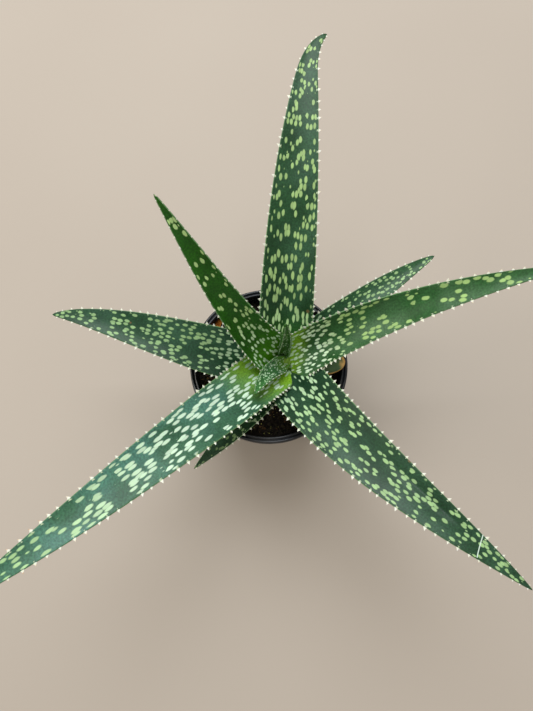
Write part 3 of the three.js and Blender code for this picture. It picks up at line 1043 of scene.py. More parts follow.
@dataclass
class PottingSoil:
    """Damp potting mix that fills the pot, with crumbs, bark, fibre and grit on top.

    Sizes are in millimetres.

    Attributes:
        pot: The pot that it fills.
        top: Mean height of its top.
        lump: How high its broad lumps are.
        clod: How high its small clods are.
        clods: How many of those lie in a millimetre.
        dip: How far it sinks at the stem, and over what distance.
        gap: Between it and the pot.
        stem: Where the stem's axis stands.
        stem_radius: The stem's radius.
        sides: Sides of its rings.
        ring_step: From ring to ring of its top.
        chip_size: Length, width and thickness of the orange chip of bark.
        chip_place: Where the chip lies.
        chip_angles: How far it is turned and leaned, in degrees.
        bed_finish: What the bed is made of.
        chip_finish: What the chip is made of.
        kinds: The loose bits on top.
    """

    pot: NurseryPot
    top: float = 83
    lump: float = 1.4
    clod: float = 0.9
    clods: float = 0.35
    dip: Pair = (1.2, 22)
    gap: float = 0.3
    stem: Pair = (9, 2)
    stem_radius: float = 10.5
    sides: int = 120
    ring_step: float = 1.1
    chip_size: Triple = (9, 4.2, 1.8)
    chip_place: Pair = (-37, 31)
    chip_angles: Pair = (78, 12)
    bed_finish: DampMatter = DampMatter("damp_peat", "#0a0705", "#241a11", 1.6)
    chip_finish: DampMatter = DampMatter("fresh_bark", "#7a3d0e", "#c47a24", 2.0)
    kinds: tuple[Litter, ...] = (
        Litter("soil_crumbs", DampMatter("peat_crumbs", "#0b0906", "#38301e", 1.3), 1900, (0.7, 3.2),
               (1.0, 0.9, 0.75), 0.25, 11),
        Litter("soil_bark", DampMatter("composted_bark", "#24180c", "#74542e", 2.2), 190, (2.0, 6.0),
               (1.0, 0.5, 0.3), 0.1, 23),
        Litter("soil_flecks", DampMatter("olive_fleck", "#5d5c24", "#b3aa62", 0.8), 420, (0.6, 1.7),
               (1.0, 0.7, 0.5), 0.0, 37),
        Litter("soil_fibres", DampMatter("root_fibre", "#5a4228", "#b08c5a", 1.0, 0.8), 110, (3.0, 9.0),
               (1.0, 0.06, 0.06), 0.0, 41),
    )

    def height_at(self, x: float, y: float) -> float:
        """Give the height of the soil's top: its dip, lumps about 30 mm long and some of about 10 mm.

        Args:
            x: Millimetres from the pot's axis to the right.
            y: Millimetres from it to the back.

        Returns:
            The height in millimetres.
        """
        from_stem = math.hypot(x - self.stem[0], y - self.stem[1])
        dip = -self.dip[0] * math.exp(-((from_stem / self.dip[1]) ** 2))
        broad = math.sin(x * 0.19 + 1.1) * math.cos(y * 0.23 - 0.4)
        fine = math.sin(x * 0.53 - y * 0.41) * math.sin(y * 0.61 + x * 0.13 + 2)
        return self.top + dip + self.lump * (0.5 * broad + 0.5 * fine)

    def top_radius(self) -> float:
        """Return the radius of the soil's top."""
        return self.pot.bore - self.pot.collar_step * 0.2 - self.gap

    def build_bed(self) -> bpy.types.Object:
        """Model the filled soil and rough up its top.

        Returns:
            The soil's object.
        """
        step = self.pot.collar_bottom
        shoulder = self.pot.wall_radius(step - 1) - self.pot.wall - self.gap
        floor = self.pot.wall + self.gap
        profile = [(self.pot.base_radius - self.pot.wall - 1.5, floor), (shoulder, step - 1 - self.gap),
                   (self.top_radius(), step + 1 + self.gap), (self.top_radius(), self.top)]
        rings = int(self.top_radius() / self.ring_step)
        profile += [(self.top_radius() * ring / rings, self.top) for ring in range(rings - 1, 0, -1)]
        bed = turn("soil_bed", profile, self.sides)
        for vertex in bed.data.vertices:
            if vertex.co.z > (self.top - 0.5) * MM:
                x, y = vertex.co.x / MM, vertex.co.y / MM
                clod = noise.fractal(Vector((x, y, 0.0)) * self.clods, 0.6, 2.0, 4)
                vertex.co.z = (self.height_at(x, y) + self.clod * clod) * MM
        smooth(bed, 60)
        return bed

    def places(self, count: int, seed: int) -> list[Vector]:
        """Draw places for loose bits on the soil.

        Args:
            count: How many.
            seed: Start of the random draws.

        Returns:
            Points on the soil in metres, clear of the stem and the pot's wall.
        """
        draw = random.Random(seed)
        found: list[Vector] = []
        while len(found) < count:
            radius = (self.top_radius() - 2) * math.sqrt(draw.random())
            angle = draw.uniform(0, 2 * math.pi)
            x, y = radius * math.cos(angle), radius * math.sin(angle)
            if math.hypot(x - self.stem[0], y - self.stem[1]) > self.stem_radius:
                found.append(Vector((x, y, self.height_at(x, y))) * MM)
        return found

    def build_chip(self) -> bpy.types.Object:
        """Model the orange chip of fresh bark that lies by the wall at the back left.

        Returns:
            The chip's object.
        """
        deselect_all()
        bpy.ops.mesh.primitive_cube_add(size=1, location=(0, 0, 0))
        chip = bpy.context.object
        bpy.ops.object.mode_set(mode="EDIT")
        bpy.ops.mesh.select_all(action="SELECT")
        bpy.ops.mesh.subdivide(number_cuts=3)
        bpy.ops.transform.vertex_random(offset=0.09, seed=5)
        bpy.ops.object.mode_set(mode="OBJECT")
        length, width, thickness = self.chip_size
        chip.data.transform(Matrix.Diagonal((length * MM, width * MM, thickness * MM, 1.0)))
        apply_modifier(chip, "SUBSURF", levels=1, render_levels=1)
        turned, leaned = (math.radians(angle) for angle in self.chip_angles)
        lean = Matrix.Rotation(turned, 4, "Z") @ Matrix.Rotation(leaned, 4, "X")
        x, y = self.chip_place
        height = self.height_at(x, y) + thickness * 2 / 3
        chip.data.transform(Matrix.Translation(Vector((x, y, height)) * MM) @ lean)
        smooth(chip, 30)
        return chip

    def dress(self, bed: bpy.types.Object, chip: bpy.types.Object) -> None:
        """Give the soil its finish and scatter the loose bits on it.

        Args:
            bed: The soil's object.
            chip: The orange chip's object.
        """
        bed.data.materials.append(self.bed_finish.material())
        hand_over(bed, "soil_bed", ["soil"])
        chip.data.materials.append(self.chip_finish.material())
        hand_over(chip, "soil_bark_chip", [])
        for kind in self.kinds:
            bits = kind.scatter(self.places(kind.count, kind.seed + 1))
            bits.data.materials.clear()
            bits.data.materials.append(kind.finish.material())
            hand_over(bits, kind.name, [])


@dataclass
class Stem:
    """Short stem that the leaves clasp, ringed where old leaves have dropped.

    Sizes are in millimetres.
    """

    centre: Pair = (9, 2)
    foot: float = 62
    top: float = 104
    foot_radius: float = 10.5
    neck_radius: float = 8.5
    top_radius: float = 6.5
    ring_step: float = 1.7
    ring_depth: float = 0.35
    sides: int = 64
    finish: StemSkin = field(default_factory=StemSkin)

    def build(self) -> bpy.types.Object:
        """Model the stem, ring by ring.

        Returns:
            The stem's object.
        """
        profile: list[Pair] = [(self.foot_radius * 0.7, self.foot), (self.foot_radius, self.foot + 4)]
        height, ring = 83.0, 0
        while height < self.top - 3:
            upward = smooth_share(height, 83, 91)
            radius = blend(self.foot_radius, self.neck_radius, upward)
            radius = blend(radius, self.top_radius, smooth_share(height, 91, self.top - 3))
            profile.append((radius - self.ring_depth * (ring % 2), height))
            height += self.ring_step
            ring += 1
        profile.append((self.top_radius * 0.5, self.top))
        stem = turn("stem_body", profile, self.sides, self.centre)
        smooth(stem, 60)
        return stem

    def dress(self, stem: bpy.types.Object) -> None:
        """Give the stem its skin and tie it to the frame.

        Args:
            stem: The stem's object.
        """
        stem.data.materials.append(self.finish.material())
        hand_over(stem, "aloe_stem", ["stem"])


@dataclass(frozen=True)
class Dent:
    """A shallow hollow or swelling in a blade.

    Attributes:
        distance: Millimetres from the leaf's foot.
        side: Place across the leaf, from -1 to 1.
        length: Its half-length in millimetres.
        width: Its half-width as a share of the blade's half-width.
        depth: How far it sinks, in millimetres.
    """

    distance: float
    side: float
    length: float
    width: float
    depth: float


@dataclass
class Tooth:
    """Marginal tooth: a flattened thorn that tapers in a hollow curve to a forward-leaning point.

    Sizes are in millimetres.

    Attributes:
        half_length: Half its length along the margin, at the root.
        half_thickness: Half its thickness at the root.
        root: How deep it is sunk in the margin.
        height: How far it stands out.
        lean: How far the point leans towards the leaf's tip.
    """

    half_length: float = 2.1
    half_thickness: float = 0.7
    root: float = 1.2
    height: float = 2.0
    lean: float = 0.9
    sides: int = 6
    steps: tuple[Triple, ...] = ((0.38, 0.64, 0.04), (0.6, 0.38, 0.2), (0.84, 0.17, 0.6))

    def pattern(self) -> bpy.types.Object:
        """Model one tooth, pointing up +Z and leaning to +X.

        Returns:
            The tooth in metres, with its root below the origin.
        """
        deselect_all()
        bpy.ops.mesh.primitive_circle_add(vertices=self.sides, radius=1.0, fill_type="NGON")
        tooth = bpy.context.object
        bpy.ops.object.mode_set(mode="EDIT")
        bpy.ops.mesh.select_all(action="SELECT")
        height, share, lean = 0.0, 1.0, 0.0
        for next_height, next_share, next_lean in self.steps:
            bpy.ops.mesh.extrude_region_move(
                TRANSFORM_OT_translate={"value": (next_lean - lean, 0, next_height - height)})
            scale = next_share / share
            bpy.ops.transform.resize(value=(scale, scale, 1), center_override=(next_lean, 0, next_height))
            height, share, lean = next_height, next_share, next_lean
        bpy.ops.mesh.extrude_region_move(TRANSFORM_OT_translate={"value": (1 - lean, 0, 1 - height)})
        bpy.ops.mesh.merge(type="CENTER")
        bpy.ops.mesh.select_all(action="SELECT")
        bpy.ops.mesh.normals_make_consistent(inside=False)
        bpy.ops.object.mode_set(mode="OBJECT")
        set_point_values(tooth, "tooth_height", [vertex.co.z for vertex in tooth.data.vertices])
        for vertex in tooth.data.vertices:
            across, up = vertex.co.x - self._lean_at(vertex.co.z), vertex.co.z
            vertex.co.x = (across * self.half_length + self._lean_at(up) * self.lean) * MM
            vertex.co.y *= self.half_thickness * MM
            vertex.co.z = (up * (self.height + self.root) - self.root) * MM
        smooth(tooth, 50)
        return tooth

    def _lean_at(self, height: float) -> float:
        """Give how far the modelled outline leans.

        Args:
            height: Height above the root, from 0 to 1.

        Returns:
            The lean there, from 0 to 1.
        """
        rows = [(0.0, 0.0), *((row[0], row[2]) for row in self.steps), (1.0, 1.0)]
        for (low, before), (high, after) in zip(rows, rows[1:]):
            if height <= high + 1e-6:
                return blend(before, after, (height - low) / (high - low))
        return 1.0


@dataclass(frozen=True)
class ToothRow:
    """How the teeth stand along a margin, in millimetres.

    Attributes:
        first: How far past its start the row's first tooth may lie.
        last: How far from the tip the row ends.
        sizes: The smallest and largest tooth against a full-size one.
        narrow: The blade's widths between which its teeth reach full size, and their share of it below.
        young: Distances from the foot between which they do so, and their share of it before.
        spacing: From tooth to tooth near the foot, and farther out.
        spacing_from: Distances from the foot between which the spacing opens.
        tip: Where along the leaf it closes up again, from 0 to 1, and its share at the tip.
        uneven: The smallest and largest spacing against the mean.
        sway: How far a tooth may lean, in degrees.
        tan_from: Where along the leaf the tan sets in and is full.
        tan_spread: How far it varies.
    """

    first: float = 3
    last: float = 1.5
    sizes: Pair = (0.62, 0.96)
    narrow: Triple = (2, 14, 0.6)
    young: Triple = (8, 40, 0.9)
    spacing: Pair = (3.5, 6.1)
    spacing_from: Pair = (10, 80)
    tip: Pair = (0.86, 0.62)
    uneven: Pair = (0.75, 1.25)
    sway: float = 9
    tan_from: Pair = (0.35, 0.9)
    tan_spread: float = 0.25


@dataclass
class Leaf:
    """One arching leaf of the rosette, on the same rule as its solid in the frame.

    Sizes are in millimetres and angles in degrees. heading, rise and fold give the value at the
    start, the middle and the end: the compass direction, the climb above level, and half the arc
    that the section is rolled to.

    Attributes:
        node: The CAD node that it stands for.
        foot: Height of the midrib's start.
        bearing: Direction from the stem's axis to that start.
        heading: Compass direction.
        rise: Climb above level.
        roll: What tips the blade about its midrib, at the start and the end.
        hook: What the last stretch turns sideways and dips.
        length: Along the midrib.
        width: Across the widest place.
        thickness: At the midrib.
        taper: The two powers that shape the outline.
        fold: Half the arc of the section.
        skin: The leaf's finish.
        cell: Width of a spot's cell at the foot, the middle and the tip.
        cell_length: Length of a spot's cell at the foot, the middle and the tip.
        cover: The share of the cells that hold a spot at the foot, the middle and the tip.
        tooth_from: Where the teeth start.
        tooth_size: How large the teeth are against a full-size one.
        tan: How tanned the teeth's points are towards the tip.
        dents: Hollows and swellings of its own.
        slot: The record's material slot; not used.
        stem: Where the stem's axis stands.
        reach: From that axis to the midrib's start.
        margin_thickness: At the margins.
        tip_thickness: At the tip.
        clasp: Its width at the foot, as a share of the full one.
        clasp_length: Over what distance from the foot it opens to the full width.
        hook_start: Where the hook starts, from 0 to 1.
        swell: How far the living blade swells off its plain rule.
        swell_length: From one swelling to the next.
        lower_shift: Cells between the upper face's spots and the lower's, so that they differ.
        tooth_row: How the teeth stand along its margins.
        steps: Steps of the midrib's walk.
        columns: Columns of its strip.
        row_step: From row to row of its strip.
        path: The midrib's points.
    """

    node: str
    foot: float
    bearing: float
    heading: Triple
    rise: Triple
    roll: Pair
    hook: Pair
    length: float
    width: float
    thickness: float
    taper: Pair
    fold: Triple
    skin: LeafSkin | TornLeafSkin
    cell: Triple = (2.3, 2.7, 2.4)
    cell_length: Triple = (6.2, 5.4, 4.4)
    cover: Triple = (0.68, 0.58, 0.45)
    tooth_from: float = 14
    tooth_size: float = 1.0
    tan: float = 0.5
    dents: tuple[Dent, ...] = ()
    slot: Slot = Slot.LEAF_SKIN
    stem: Pair = (9, 2)
    reach: float = 3
    margin_thickness: float = 0.9
    tip_thickness: float = 1.6
    clasp: float = 0.55
    clasp_length: float = 12
    hook_start: float = 0.82
    swell: float = 0.7
    swell_length: float = 24
    lower_shift: float = 60
    tooth_row: ToothRow = ToothRow()
    steps: int = 96
    columns: int = 14
    row_step: float = 2.4
    path: list[Vector] = field(default_factory=list)

    def directions(self, s: float) -> tuple[Vector, Vector, Vector]:
        """Return the midrib's direction and the blade's left and upper sides.

        Args:
            s: Place along the leaf, from 0 to 1.

        Returns:
            Three unit vectors: forward, left and up.
        """
        late = max(0.0, (s - self.hook_start) / (1 - self.hook_start)) ** 2
        heading = math.radians(along(self.heading, s) + self.hook[0] * late)
        rise = math.radians(along(self.rise, s) + self.hook[1] * late)
        forward = Vector((math.cos(heading) * math.cos(rise), math.sin(heading) * math.cos(rise),
                          math.sin(rise)))
        left = Vector((-math.sin(heading), math.cos(heading), 0.0))
        left.rotate(Matrix.Rotation(math.radians(blend(*self.roll, s)), 3, forward))
        return forward, left, forward.cross(left)

    def walk(self) -> None:
        """Walk the midrib from its foot and keep its points."""
        bearing = math.radians(self.bearing)
        place = Vector((self.stem[0] + self.reach * math.cos(bearing),
                        self.stem[1] + self.reach * math.sin(bearing), self.foot))
        self.path = [place.copy()]
        for i in range(self.steps):
            place = place + self.directions((i + 0.5) / self.steps)[0] * (self.length / self.steps)
            self.path.append(place.copy())

    def width_at(self, s: float) -> float:
        """Give the blade's width at a place along it, from 0 to 1."""
        p, q = self.taper
        clasp = smooth_share(s * self.length, 0, self.clasp_length)
        return self.width * max(0.0, 1 - s ** p) ** q * blend(self.clasp, 1, clasp)

    def thickness_at(self, s: float, u: float) -> float:
        """Give the blade's thickness at a place along it, from 0 to 1, and across it, from -1 to 1."""
        fullness = math.sqrt(self.width_at(s) / self.width)
        middle = blend(self.tip_thickness, self.thickness, fullness)
        return blend(self.margin_thickness, middle, 1 - u * u)

    def relief(self, s: float, u: float) -> float:
        """Return how far the living blade swells off its plain rule, in millimetres.

        Args:
            s: Place along the leaf, from 0 to 1.
            u: Place across it, from -1 to 1.

        Returns:
            The swelling, which both faces share.
        """
        free = smooth_share(s * self.length, 6, 30) * smooth_share(1 - s, 0, 0.12)
        wave = noise.noise(Vector((u * 0.9, s * self.length / self.swell_length, self.length)))
        swell = self.swell * free * wave * self.width_at(s) / self.width
        for dent in self.dents:
            lengthways = (s * self.length - dent.distance) / dent.length
            sideways = (u - dent.side) / dent.width
            swell -= dent.depth * math.exp(-(lengthways ** 2 + sideways ** 2))
        return swell

    def point(self, s: float, u: float, depth: float) -> tuple[Vector, Vector, Vector, Vector]:
        """Return a point of the blade and its directions.

        Args:
            s: Place along the leaf, from 0 to 1.
            u: Place across it, from -1 at its right margin to 1 at its left.
            depth: How far below the upper face.

        Returns:
            The point, then the directions forward, across to the left, and off the upper face.
        """
        step = min(int(s * self.steps), self.steps - 1)
        middle = self.path[step].lerp(self.path[step + 1], s * self.steps - step)
        forward, left, up = self.directions(s)
        arc = math.radians(along(self.fold, s))
        radius = self.width_at(s) / 2 / arc
        angle = u * arc
        outer = radius + depth - self.relief(s, u)
        point = middle + left * outer * math.sin(angle) + up * (radius - outer * math.cos(angle))
        across = left * math.cos(angle) + up * math.sin(angle)
        off = up * math.cos(angle) - left * math.sin(angle)
        return point, forward, across, off

    def lay_strip(self) -> bpy.types.Object:
        """Lay out the leaf flat: a strip of rows and columns, given its thickness by an extrude.

        Returns:
            The strip. Its X runs from margin to margin, its Y from the foot to the tip, both from
            -1 to 1, and its Z is 0 on the upper face and -1 on the lower.
        """
        deselect_all()
        bpy.ops.mesh.primitive_grid_add(
            x_subdivisions=self.columns, y_subdivisions=round(self.length / self.row_step), size=2,
            calc_uvs=False)
        strip = bpy.context.object
        bpy.ops.object.mode_set(mode="EDIT")
        bpy.ops.mesh.select_all(action="SELECT")
        bpy.ops.mesh.extrude_region_move(TRANSFORM_OT_translate={"value": (0, 0, -1)})
        bpy.ops.object.mode_set(mode="OBJECT")
        return strip

    def map_skin(self, strip: bpy.types.Object) -> None:
        """Write the maps that the skin is drawn on.

        "blade" is millimetres across and along, "cells" counts the spots' cells, and the point
        values "side" and "share" run across and along the leaf, with "cover" beside them.

        Args:
            strip: The flat strip.
        """
        mesh = strip.data
        blade, cells = mesh.uv_layers.new(name="blade"), mesh.uv_layers.new(name="cells")
        rows = 200
        counted = [0.0]
        for i in range(rows):
            counted.append(counted[-1] + self.length / rows / along(self.cell_length, (i + 0.5) / rows))
        for face in mesh.polygons:
            below = all(mesh.vertices[i].co.z < LOWER_SIDE for i in face.vertices)
            shift = self.lower_shift if below else 0.0
            for loop in face.loop_indices:
                flat = mesh.vertices[mesh.loops[loop].vertex_index].co
                u, s = self.across_of(flat.x), (flat.y + 1) / 2
                across = u * self.width_at(s) / 2
                blade.data[loop].uv = (across, s * self.length)
                place = s * rows
                row = min(int(place), rows - 1)
                count = blend(counted[row], counted[row + 1], place - row)
                cells.data[loop].uv = (across / along(self.cell, s) + shift + self.length, count)
        set_point_values(strip, "side", [self.across_of(v.co.x) for v in mesh.vertices])
        shares = [(v.co.y + 1) / 2 for v in mesh.vertices]
        set_point_values(strip, "share", shares)
        set_point_values(strip, "cover", [along(self.cover, s) for s in shares])

    def across_of(self, x: float) -> float:
        """Return the place across the leaf for a column of the strip, closer set at the margins."""
        return math.sin(x * math.pi / 2) * 0.55 + x * 0.45

    def bend(self, strip: bpy.types.Object) -> None:
        """Bend the flat strip to the leaf's own place.

        Args:
            strip: The flat strip.
        """
        for vertex in strip.data.vertices:
            u, s = self.across_of(vertex.co.x), (vertex.co.y + 1) / 2
            if s > AT_TIP:
                _, _, up = self.directions(1)
                vertex.co = (self.path[-1] - up * (self.tip_thickness / 2)) * MM
            else:
                depth = self.thickness_at(s, u) if vertex.co.z < LOWER_SIDE else 0.0
                vertex.co = self.point(s, u, depth)[0] * MM

    def grow_teeth(self, tooth: bpy.types.Object) -> list[bpy.types.Object]:
        """Copy the tooth along both margins, closer together near the foot.

        Args:
            tooth: The tooth that was modelled once.

        Returns:
            The copies in their places.
        """
        draw, row = random.Random(self.node), self.tooth_row
        teeth = []
        for side in (-1, 1):
            distance = self.tooth_from + row.first * draw.random()
            while distance < self.length - row.last:
                s = distance / self.length
                size = draw.uniform(*row.sizes) * self.tooth_size
                size *= blend(row.narrow[2], 1, smooth_share(self.width_at(s), *row.narrow[:2]))
                size *= blend(row.young[2], 1, smooth_share(distance, *row.young[:2]))
                point, forward, across, off = self.point(s, side, self.margin_thickness / 2)
                turned = Matrix((forward, -off * side, across * side)).transposed().to_4x4()
                sway = Matrix.Rotation(math.radians(draw.uniform(-row.sway, row.sway)), 4, "Y")
                place = Matrix.Translation(point * MM) @ turned @ sway @ Matrix.Scale(size, 4)
                copy = own_copy(tooth, place)
                age = self.tan * smooth_share(s, *row.tan_from)
                age = max(0.0, age + draw.uniform(-row.tan_spread, row.tan_spread))
                set_point_values(copy, "tooth_age", [age] * len(copy.data.vertices))
                teeth.append(copy)
                spacing = blend(*row.spacing, smooth_share(distance, *row.spacing_from))
                spacing *= blend(1, row.tip[1], smooth_share(s, row.tip[0], 1))
                distance += spacing * draw.uniform(*row.uneven)
        return teeth

    def build(self, tooth: bpy.types.Object) -> bpy.types.Object:
        """Model the blade and set its teeth.

        Args:
            tooth: The tooth that was modelled once.

        Returns:
            The leaf's object.
        """
        self.walk()
        leaf = self.lay_strip()
        self.map_skin(leaf)
        self.bend(leaf)
        select_only([leaf], leaf)
        bpy.ops.object.mode_set(mode="EDIT")
        bpy.ops.mesh.select_all(action="SELECT")
        bpy.ops.mesh.remove_doubles(threshold=0.01 * MM)
        bpy.ops.mesh.normals_make_consistent(inside=False)
        bpy.ops.object.mode_set(mode="OBJECT")
        apply_modifier(leaf, "SUBSURF", levels=1, render_levels=1)
        smooth(leaf, 60)
        leaf.data.materials.append(self.skin.material())
        return join([leaf, *self.grow_teeth(tooth)])

    def dress(self, leaf: bpy.types.Object) -> None:
        """Tie the leaf to the frame; its skin and its teeth's horn came with their meshes.

        Args:
            leaf: The leaf's object.
        """
        hand_over(leaf, "aloe_" + self.node, [self.node])


@dataclass
class Rosette:
    """All the leaves, youngest first, as they clasp one another."""

    tooth: Tooth = field(default_factory=Tooth)

    def leaves(self) -> list[Leaf]:
        """List the leaves with their sizes and finishes.

        Returns:
            The leaves, youngest first.
        """
        # Each leaf's greens, foot and spots are set to how bright that leaf looks where it grows, so besides
        # the leaf's own colour they carry painted light and painted shade
        return [
            Leaf("leaf_young_spear", 103, 60, (70, 95, 120), (84, 89, 84), (0, 0), (0, 0), 62, 10, 3,
                 (1.8, 0.9), (95, 85, 60),
                 LeafSkin("skin_young_spear", dark="#1c4c08", fresh="#2a620f", foot="#4a7c14",
                          foot_reach=12, bloom_and_sheen_share=0.0, spot="#a4cc8c"),
                 cell=(1.2, 1.3, 1.3), cell_length=(2.0, 2.0, 1.9), cover=(0.42, 0.42, 0.42),
                 tooth_from=18, tooth_size=0.6, tan=0.0, reach=2, row_step=1.8),
            Leaf("leaf_young_curled", 102, -25, (218, 233, 252), (38, 42, 30), (-30, 0), (0, 0), 45, 15.5,
                 3.2, (1.7, 0.8), (75, 62, 45),
                 LeafSkin("skin_young_curled", dark="#2c5c2c", fresh="#41763c", foot="#6c9c2a",
                          foot_reach=12, bloom_and_sheen_share=0.2, spot="#a6cd9a", spot_foot_reach=40),
                 cell=(1.3, 1.3, 1.2), cell_length=(2.3, 2.1, 1.9), cover=(0.74, 0.66, 0.56),
                 tooth_from=8, tooth_size=0.75, tan=0.0, row_step=1.6),
            # Painted light: this leaf's greens, foot and spots are lightened well past its own colour, to
            # stand in for light that does not reach it
            Leaf("leaf_back_left", 103, 196, (158, 136, 131), (62, 52, 44), (-19, -14), (0, 0), 144.5, 33,
                 6, (1.12, 0.94), (62, 46, 30),
                 LeafSkin("skin_back_left", dark="#1a4a06", fresh="#24600c", foot="#4a8c08",
                          foot_reach=26, foot_lean=0.4, bloom_and_sheen="#2a5a28", bloom_and_sheen_share=0.3,
                          spot="#b4d68c", spot_foot="#cdeac2"),
                 cell=(1.9, 2.5, 2.5), cell_length=(5.2, 5.0, 4.6), cover=(0.7, 0.46, 0.36),
                 tooth_size=0.85, tan=0.1),
            # Painted light: the foot's yellow-green and the whiter spots near it are partly young tissue and
            # partly painted light, brightened where the young leaves shade the fold
            Leaf("leaf_right", 99, -5, (17, 10, 3), (50, 36, 24), (30, 5), (0, 0), 182, 36, 6,
                 (1.04, 0.83), (62, 30, 20),
                 LeafSkin("skin_right", foot="#98cc20", foot_reach=17, foot_lean=-1.0,
                          spot="#9cbf76", spot_foot="#d8f0d0", dark="#204a20", fresh="#306030",
                          bloom_and_sheen="#587858", bloom_and_sheen_share=0.5),
                 cell=(1.8, 2.9, 3.4), cell_length=(5.4, 5.6, 4.6), cover=(0.92, 0.52, 0.48), tan=0.6),
            # Painted sheen: the strong blue-green tint on this leaf stands in partly for the sky's glint on
            # its middle
            Leaf("leaf_front_left", 96, 251, (223, 222, 215.3), (40, 24, 2), (-6, -1), (0, 0), 237.5, 36.5,
                 6.5, (1.58, 0.83), (46, 18, 14),
                 LeafSkin("skin_front_left", foot="#8ec02c", foot_reach=33, foot_lean=0.6,
                          spot="#a2c78c", dark="#2c523b", fresh="#3d694d", spot_foot="#cbe6cb",
                          spot_foot_reach=210, bloom_and_sheen="#578a7b", bloom_and_sheen_share=0.55),
                 cell=(1.9, 2.6, 2.3), cell_length=(8.0, 8.0, 4.8), cover=(0.74, 0.72, 0.58), tan=0.9),
            Leaf("leaf_back", 96, 78, (87, 85, 82), (46, 24, 6), (6, 2), (-45, -10), 215, 38, 6.5,
                 (1.79, 0.74), (42, 20, 16),
                 LeafSkin("skin_back", spot="#9bbb78", spot_foot="#bcd9a4", foot="#2c5f18",
                          foot_reach=24, dark="#183a1e", fresh="#264d2c", spot_foot_reach=50,
                          blemishes=(Blemish(35.8, -14.7, 1.4),)),
                 cell=(2.3, 2.6, 2.0), cell_length=(8.4, 5.8, 3.8), cover=(0.7, 0.6, 0.52), tan=0.5),
            # Painted shade: this leaf's greens are darkened by about a third below its own colour
            Leaf("leaf_front_right", 93, 296, (296.5, 315.5, 321), (38, 17, -5), (13, 0), (0, 0), 204,
                 41.5, 6.5, (1.66, 0.92), (38, 16, 14),
                 LeafSkin("skin_front_right", foot_reach=12, spot="#97ba80",
                          dark="#173721", fresh="#22452a", spot_foot="#b3d4a8",
                          scars=(Scar(168.7, -0.35, (-5.2, 7.0)),),
                          blemishes=(Blemish(112.5, 13.6, 1.3),)),
                 cell=(2.2, 2.5, 2.0), cell_length=(6.4, 5.2, 4.0), cover=(0.74, 0.64, 0.5), tan=0.25,
                 dents=(Dent(124, 0.42, 13, 0.13, 2.2), Dent(141, 0.34, 9, 0.12, 1.5))),
            Leaf("leaf_left", 93, 199, (182.5, 166.5, 176), (34, 12, 2), (-18, -2), (0, -20), 157, 37, 6,
                 (1.7, 0.82), (38, 20, 18),
                 LeafSkin("skin_left", spot="#8db079", dark="#183a24", fresh="#264c30",
                          blemishes=(Blemish(104.7, -3.1, 0.8),)),
                 cell=(2.2, 2.5, 2.2), cell_length=(5.0, 4.6, 4.0), cover=(0.72, 0.66, 0.58), tan=0.5),
            Leaf("leaf_low_right", 92, 18, (33.5, 34, 29.5), (32, 14, 4), (0, 0), (0, 0), 125, 27, 5.5,
                 (1.5, 0.73), (36, 22, 18),
                 LeafSkin("skin_low_right", spot="#93b67c", dark="#1e4225", fresh="#2c5632"),
                 cell=(1.8, 2.0, 1.8), cell_length=(3.6, 3.6, 3.2), cover=(0.66, 0.62, 0.62), tan=0.4),
            Leaf("leaf_low_front", 91, 243, (244, 231, 222), (28, 8, -14), (-9, 0), (0, 0), 95, 28, 5,
                 (1.48, 0.98), (36, 26, 20),
                 LeafSkin("skin_low_front", spot="#6f8c5c", dark="#14301a", fresh="#203f22"),
                 cell=(2.0, 2.1, 1.8), cell_length=(3.6, 3.4, 3.0), cover=(0.6, 0.55, 0.5), tan=0.4),
            Leaf("leaf_old_stub", 91, -12, (-8, 0, 4), (22, 9, 4), (0, 0), (0, 0), 42, 20, 4,
                 (4, 0.5), (30, 20, 12), TornLeafSkin("torn_leaf_skin"), tooth_from=60,
                 slot=Slot.OLD_LEAF_SKIN, row_step=1.4),
        ]

    def build(self) -> None:
        """Model and dress every leaf."""
        tooth = self.tooth.pattern()
        tooth.data.materials.append(ToothHorn().material())
        for leaf in self.leaves():
            leaf.dress(leaf.build(tooth))
        remove(tooth)


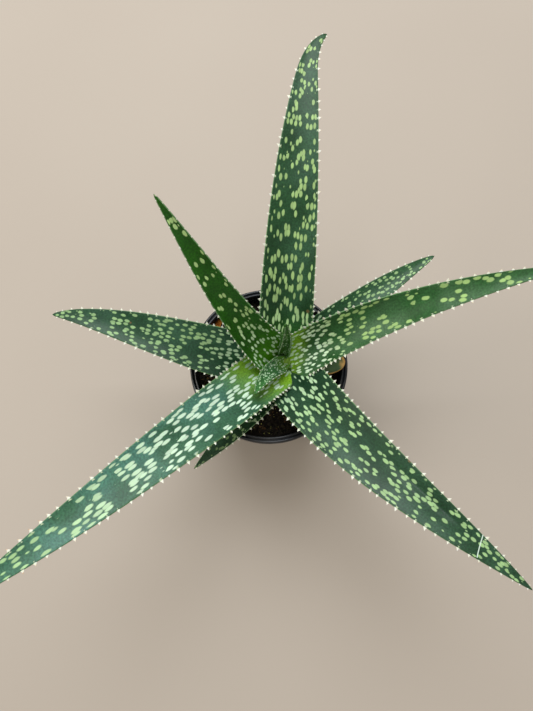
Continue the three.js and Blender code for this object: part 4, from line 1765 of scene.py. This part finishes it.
@dataclass
class Studio:
    """Plain pale floor, soft light from above and the photograph's camera.

    Sizes are in millimetres. The camera looks down steeply from in front of the pot.
    """

    camera_place: Triple = (-1.67, -82.90, 457.81)
    tilt: float = 13.75
    focal_pixels: float = 534.5
    sensor: float = 36
    floor_size: float = 60000
    aim: Triple = (0, 0, 80)
    glow_tone: str = "#f2ece4"
    glow_strength: float = 0.55

    def build_camera(self) -> None:
        """Make the camera with the photograph's viewing angle."""
        lens = bpy.data.cameras.new("camera")
        lens.sensor_fit = "AUTO"
        lens.sensor_width = self.sensor
        lens.lens = self.focal_pixels * self.sensor / PHOTO_HEIGHT
        lens.clip_start = 10 * MM
        camera = bpy.data.objects.new("camera", lens)
        camera.location = Vector(self.camera_place) * MM
        camera.rotation_euler = (math.radians(self.tilt), 0, 0)
        bpy.context.scene.collection.objects.link(camera)
        bpy.context.scene.camera = camera

    def build_floor(self) -> None:
        """Lay the floor."""
        deselect_all()
        bpy.ops.mesh.primitive_plane_add(size=self.floor_size * MM)
        floor = bpy.context.object
        floor.name = "floor"
        floor.data.materials.append(PalePaper().material())

    def add_light(self, name: str, place: Triple, size: float, watts: float, tone: str) -> None:
        """Hang one square soft light that faces the pot.

        Args:
            name: The light's name.
            place: Where it hangs, in millimetres.
            size: The length of its side, in millimetres.
            watts: Its power.
            tone: Its colour.
        """
        light = bpy.data.lights.new(name, "AREA")
        light.shape = "SQUARE"
        light.size = size * MM
        light.energy = watts
        light.color = linear(tone)[:3]
        lamp = bpy.data.objects.new(name, light)
        lamp.location = Vector(place) * MM
        lamp.rotation_euler = (Vector(self.aim) - Vector(place)).to_track_quat("-Z", "Y").to_euler()
        bpy.context.scene.collection.objects.link(lamp)

    def build_lights(self) -> None:
        """Hang the lights and set the room's own glow."""
        self.add_light("skylight", (-60, 800, 1560), 1100, 27, "#f6faff")
        self.add_light("side_window", (-1500, -100, 1100), 700, 8, "#fff8ee")
        world = bpy.data.worlds.new("room")
        world.use_nodes = True
        glow = world.node_tree.nodes["Background"]
        glow.inputs["Color"].default_value = linear(self.glow_tone)
        glow.inputs["Strength"].default_value = self.glow_strength
        bpy.context.scene.world = world
        bpy.context.scene.view_settings.view_transform = "Standard"

    def build(self) -> None:
        """Make the camera, the floor and the lights."""
        self.build_camera()
        self.build_floor()
        self.build_lights()


def main() -> None:
    """Build the studio, the pot, the soil, the stem and the leaves, in that order."""
    logging.basicConfig(level=logging.INFO, format="%(message)s")
    Studio().build()
    pot = NurseryPot()
    pot.dress(pot.build())
    soil = PottingSoil(pot)
    soil.dress(soil.build_bed(), soil.build_chip())
    stem = Stem()
    stem.dress(stem.build())
    Rosette().build()


if __name__ == "__main__":
    main()
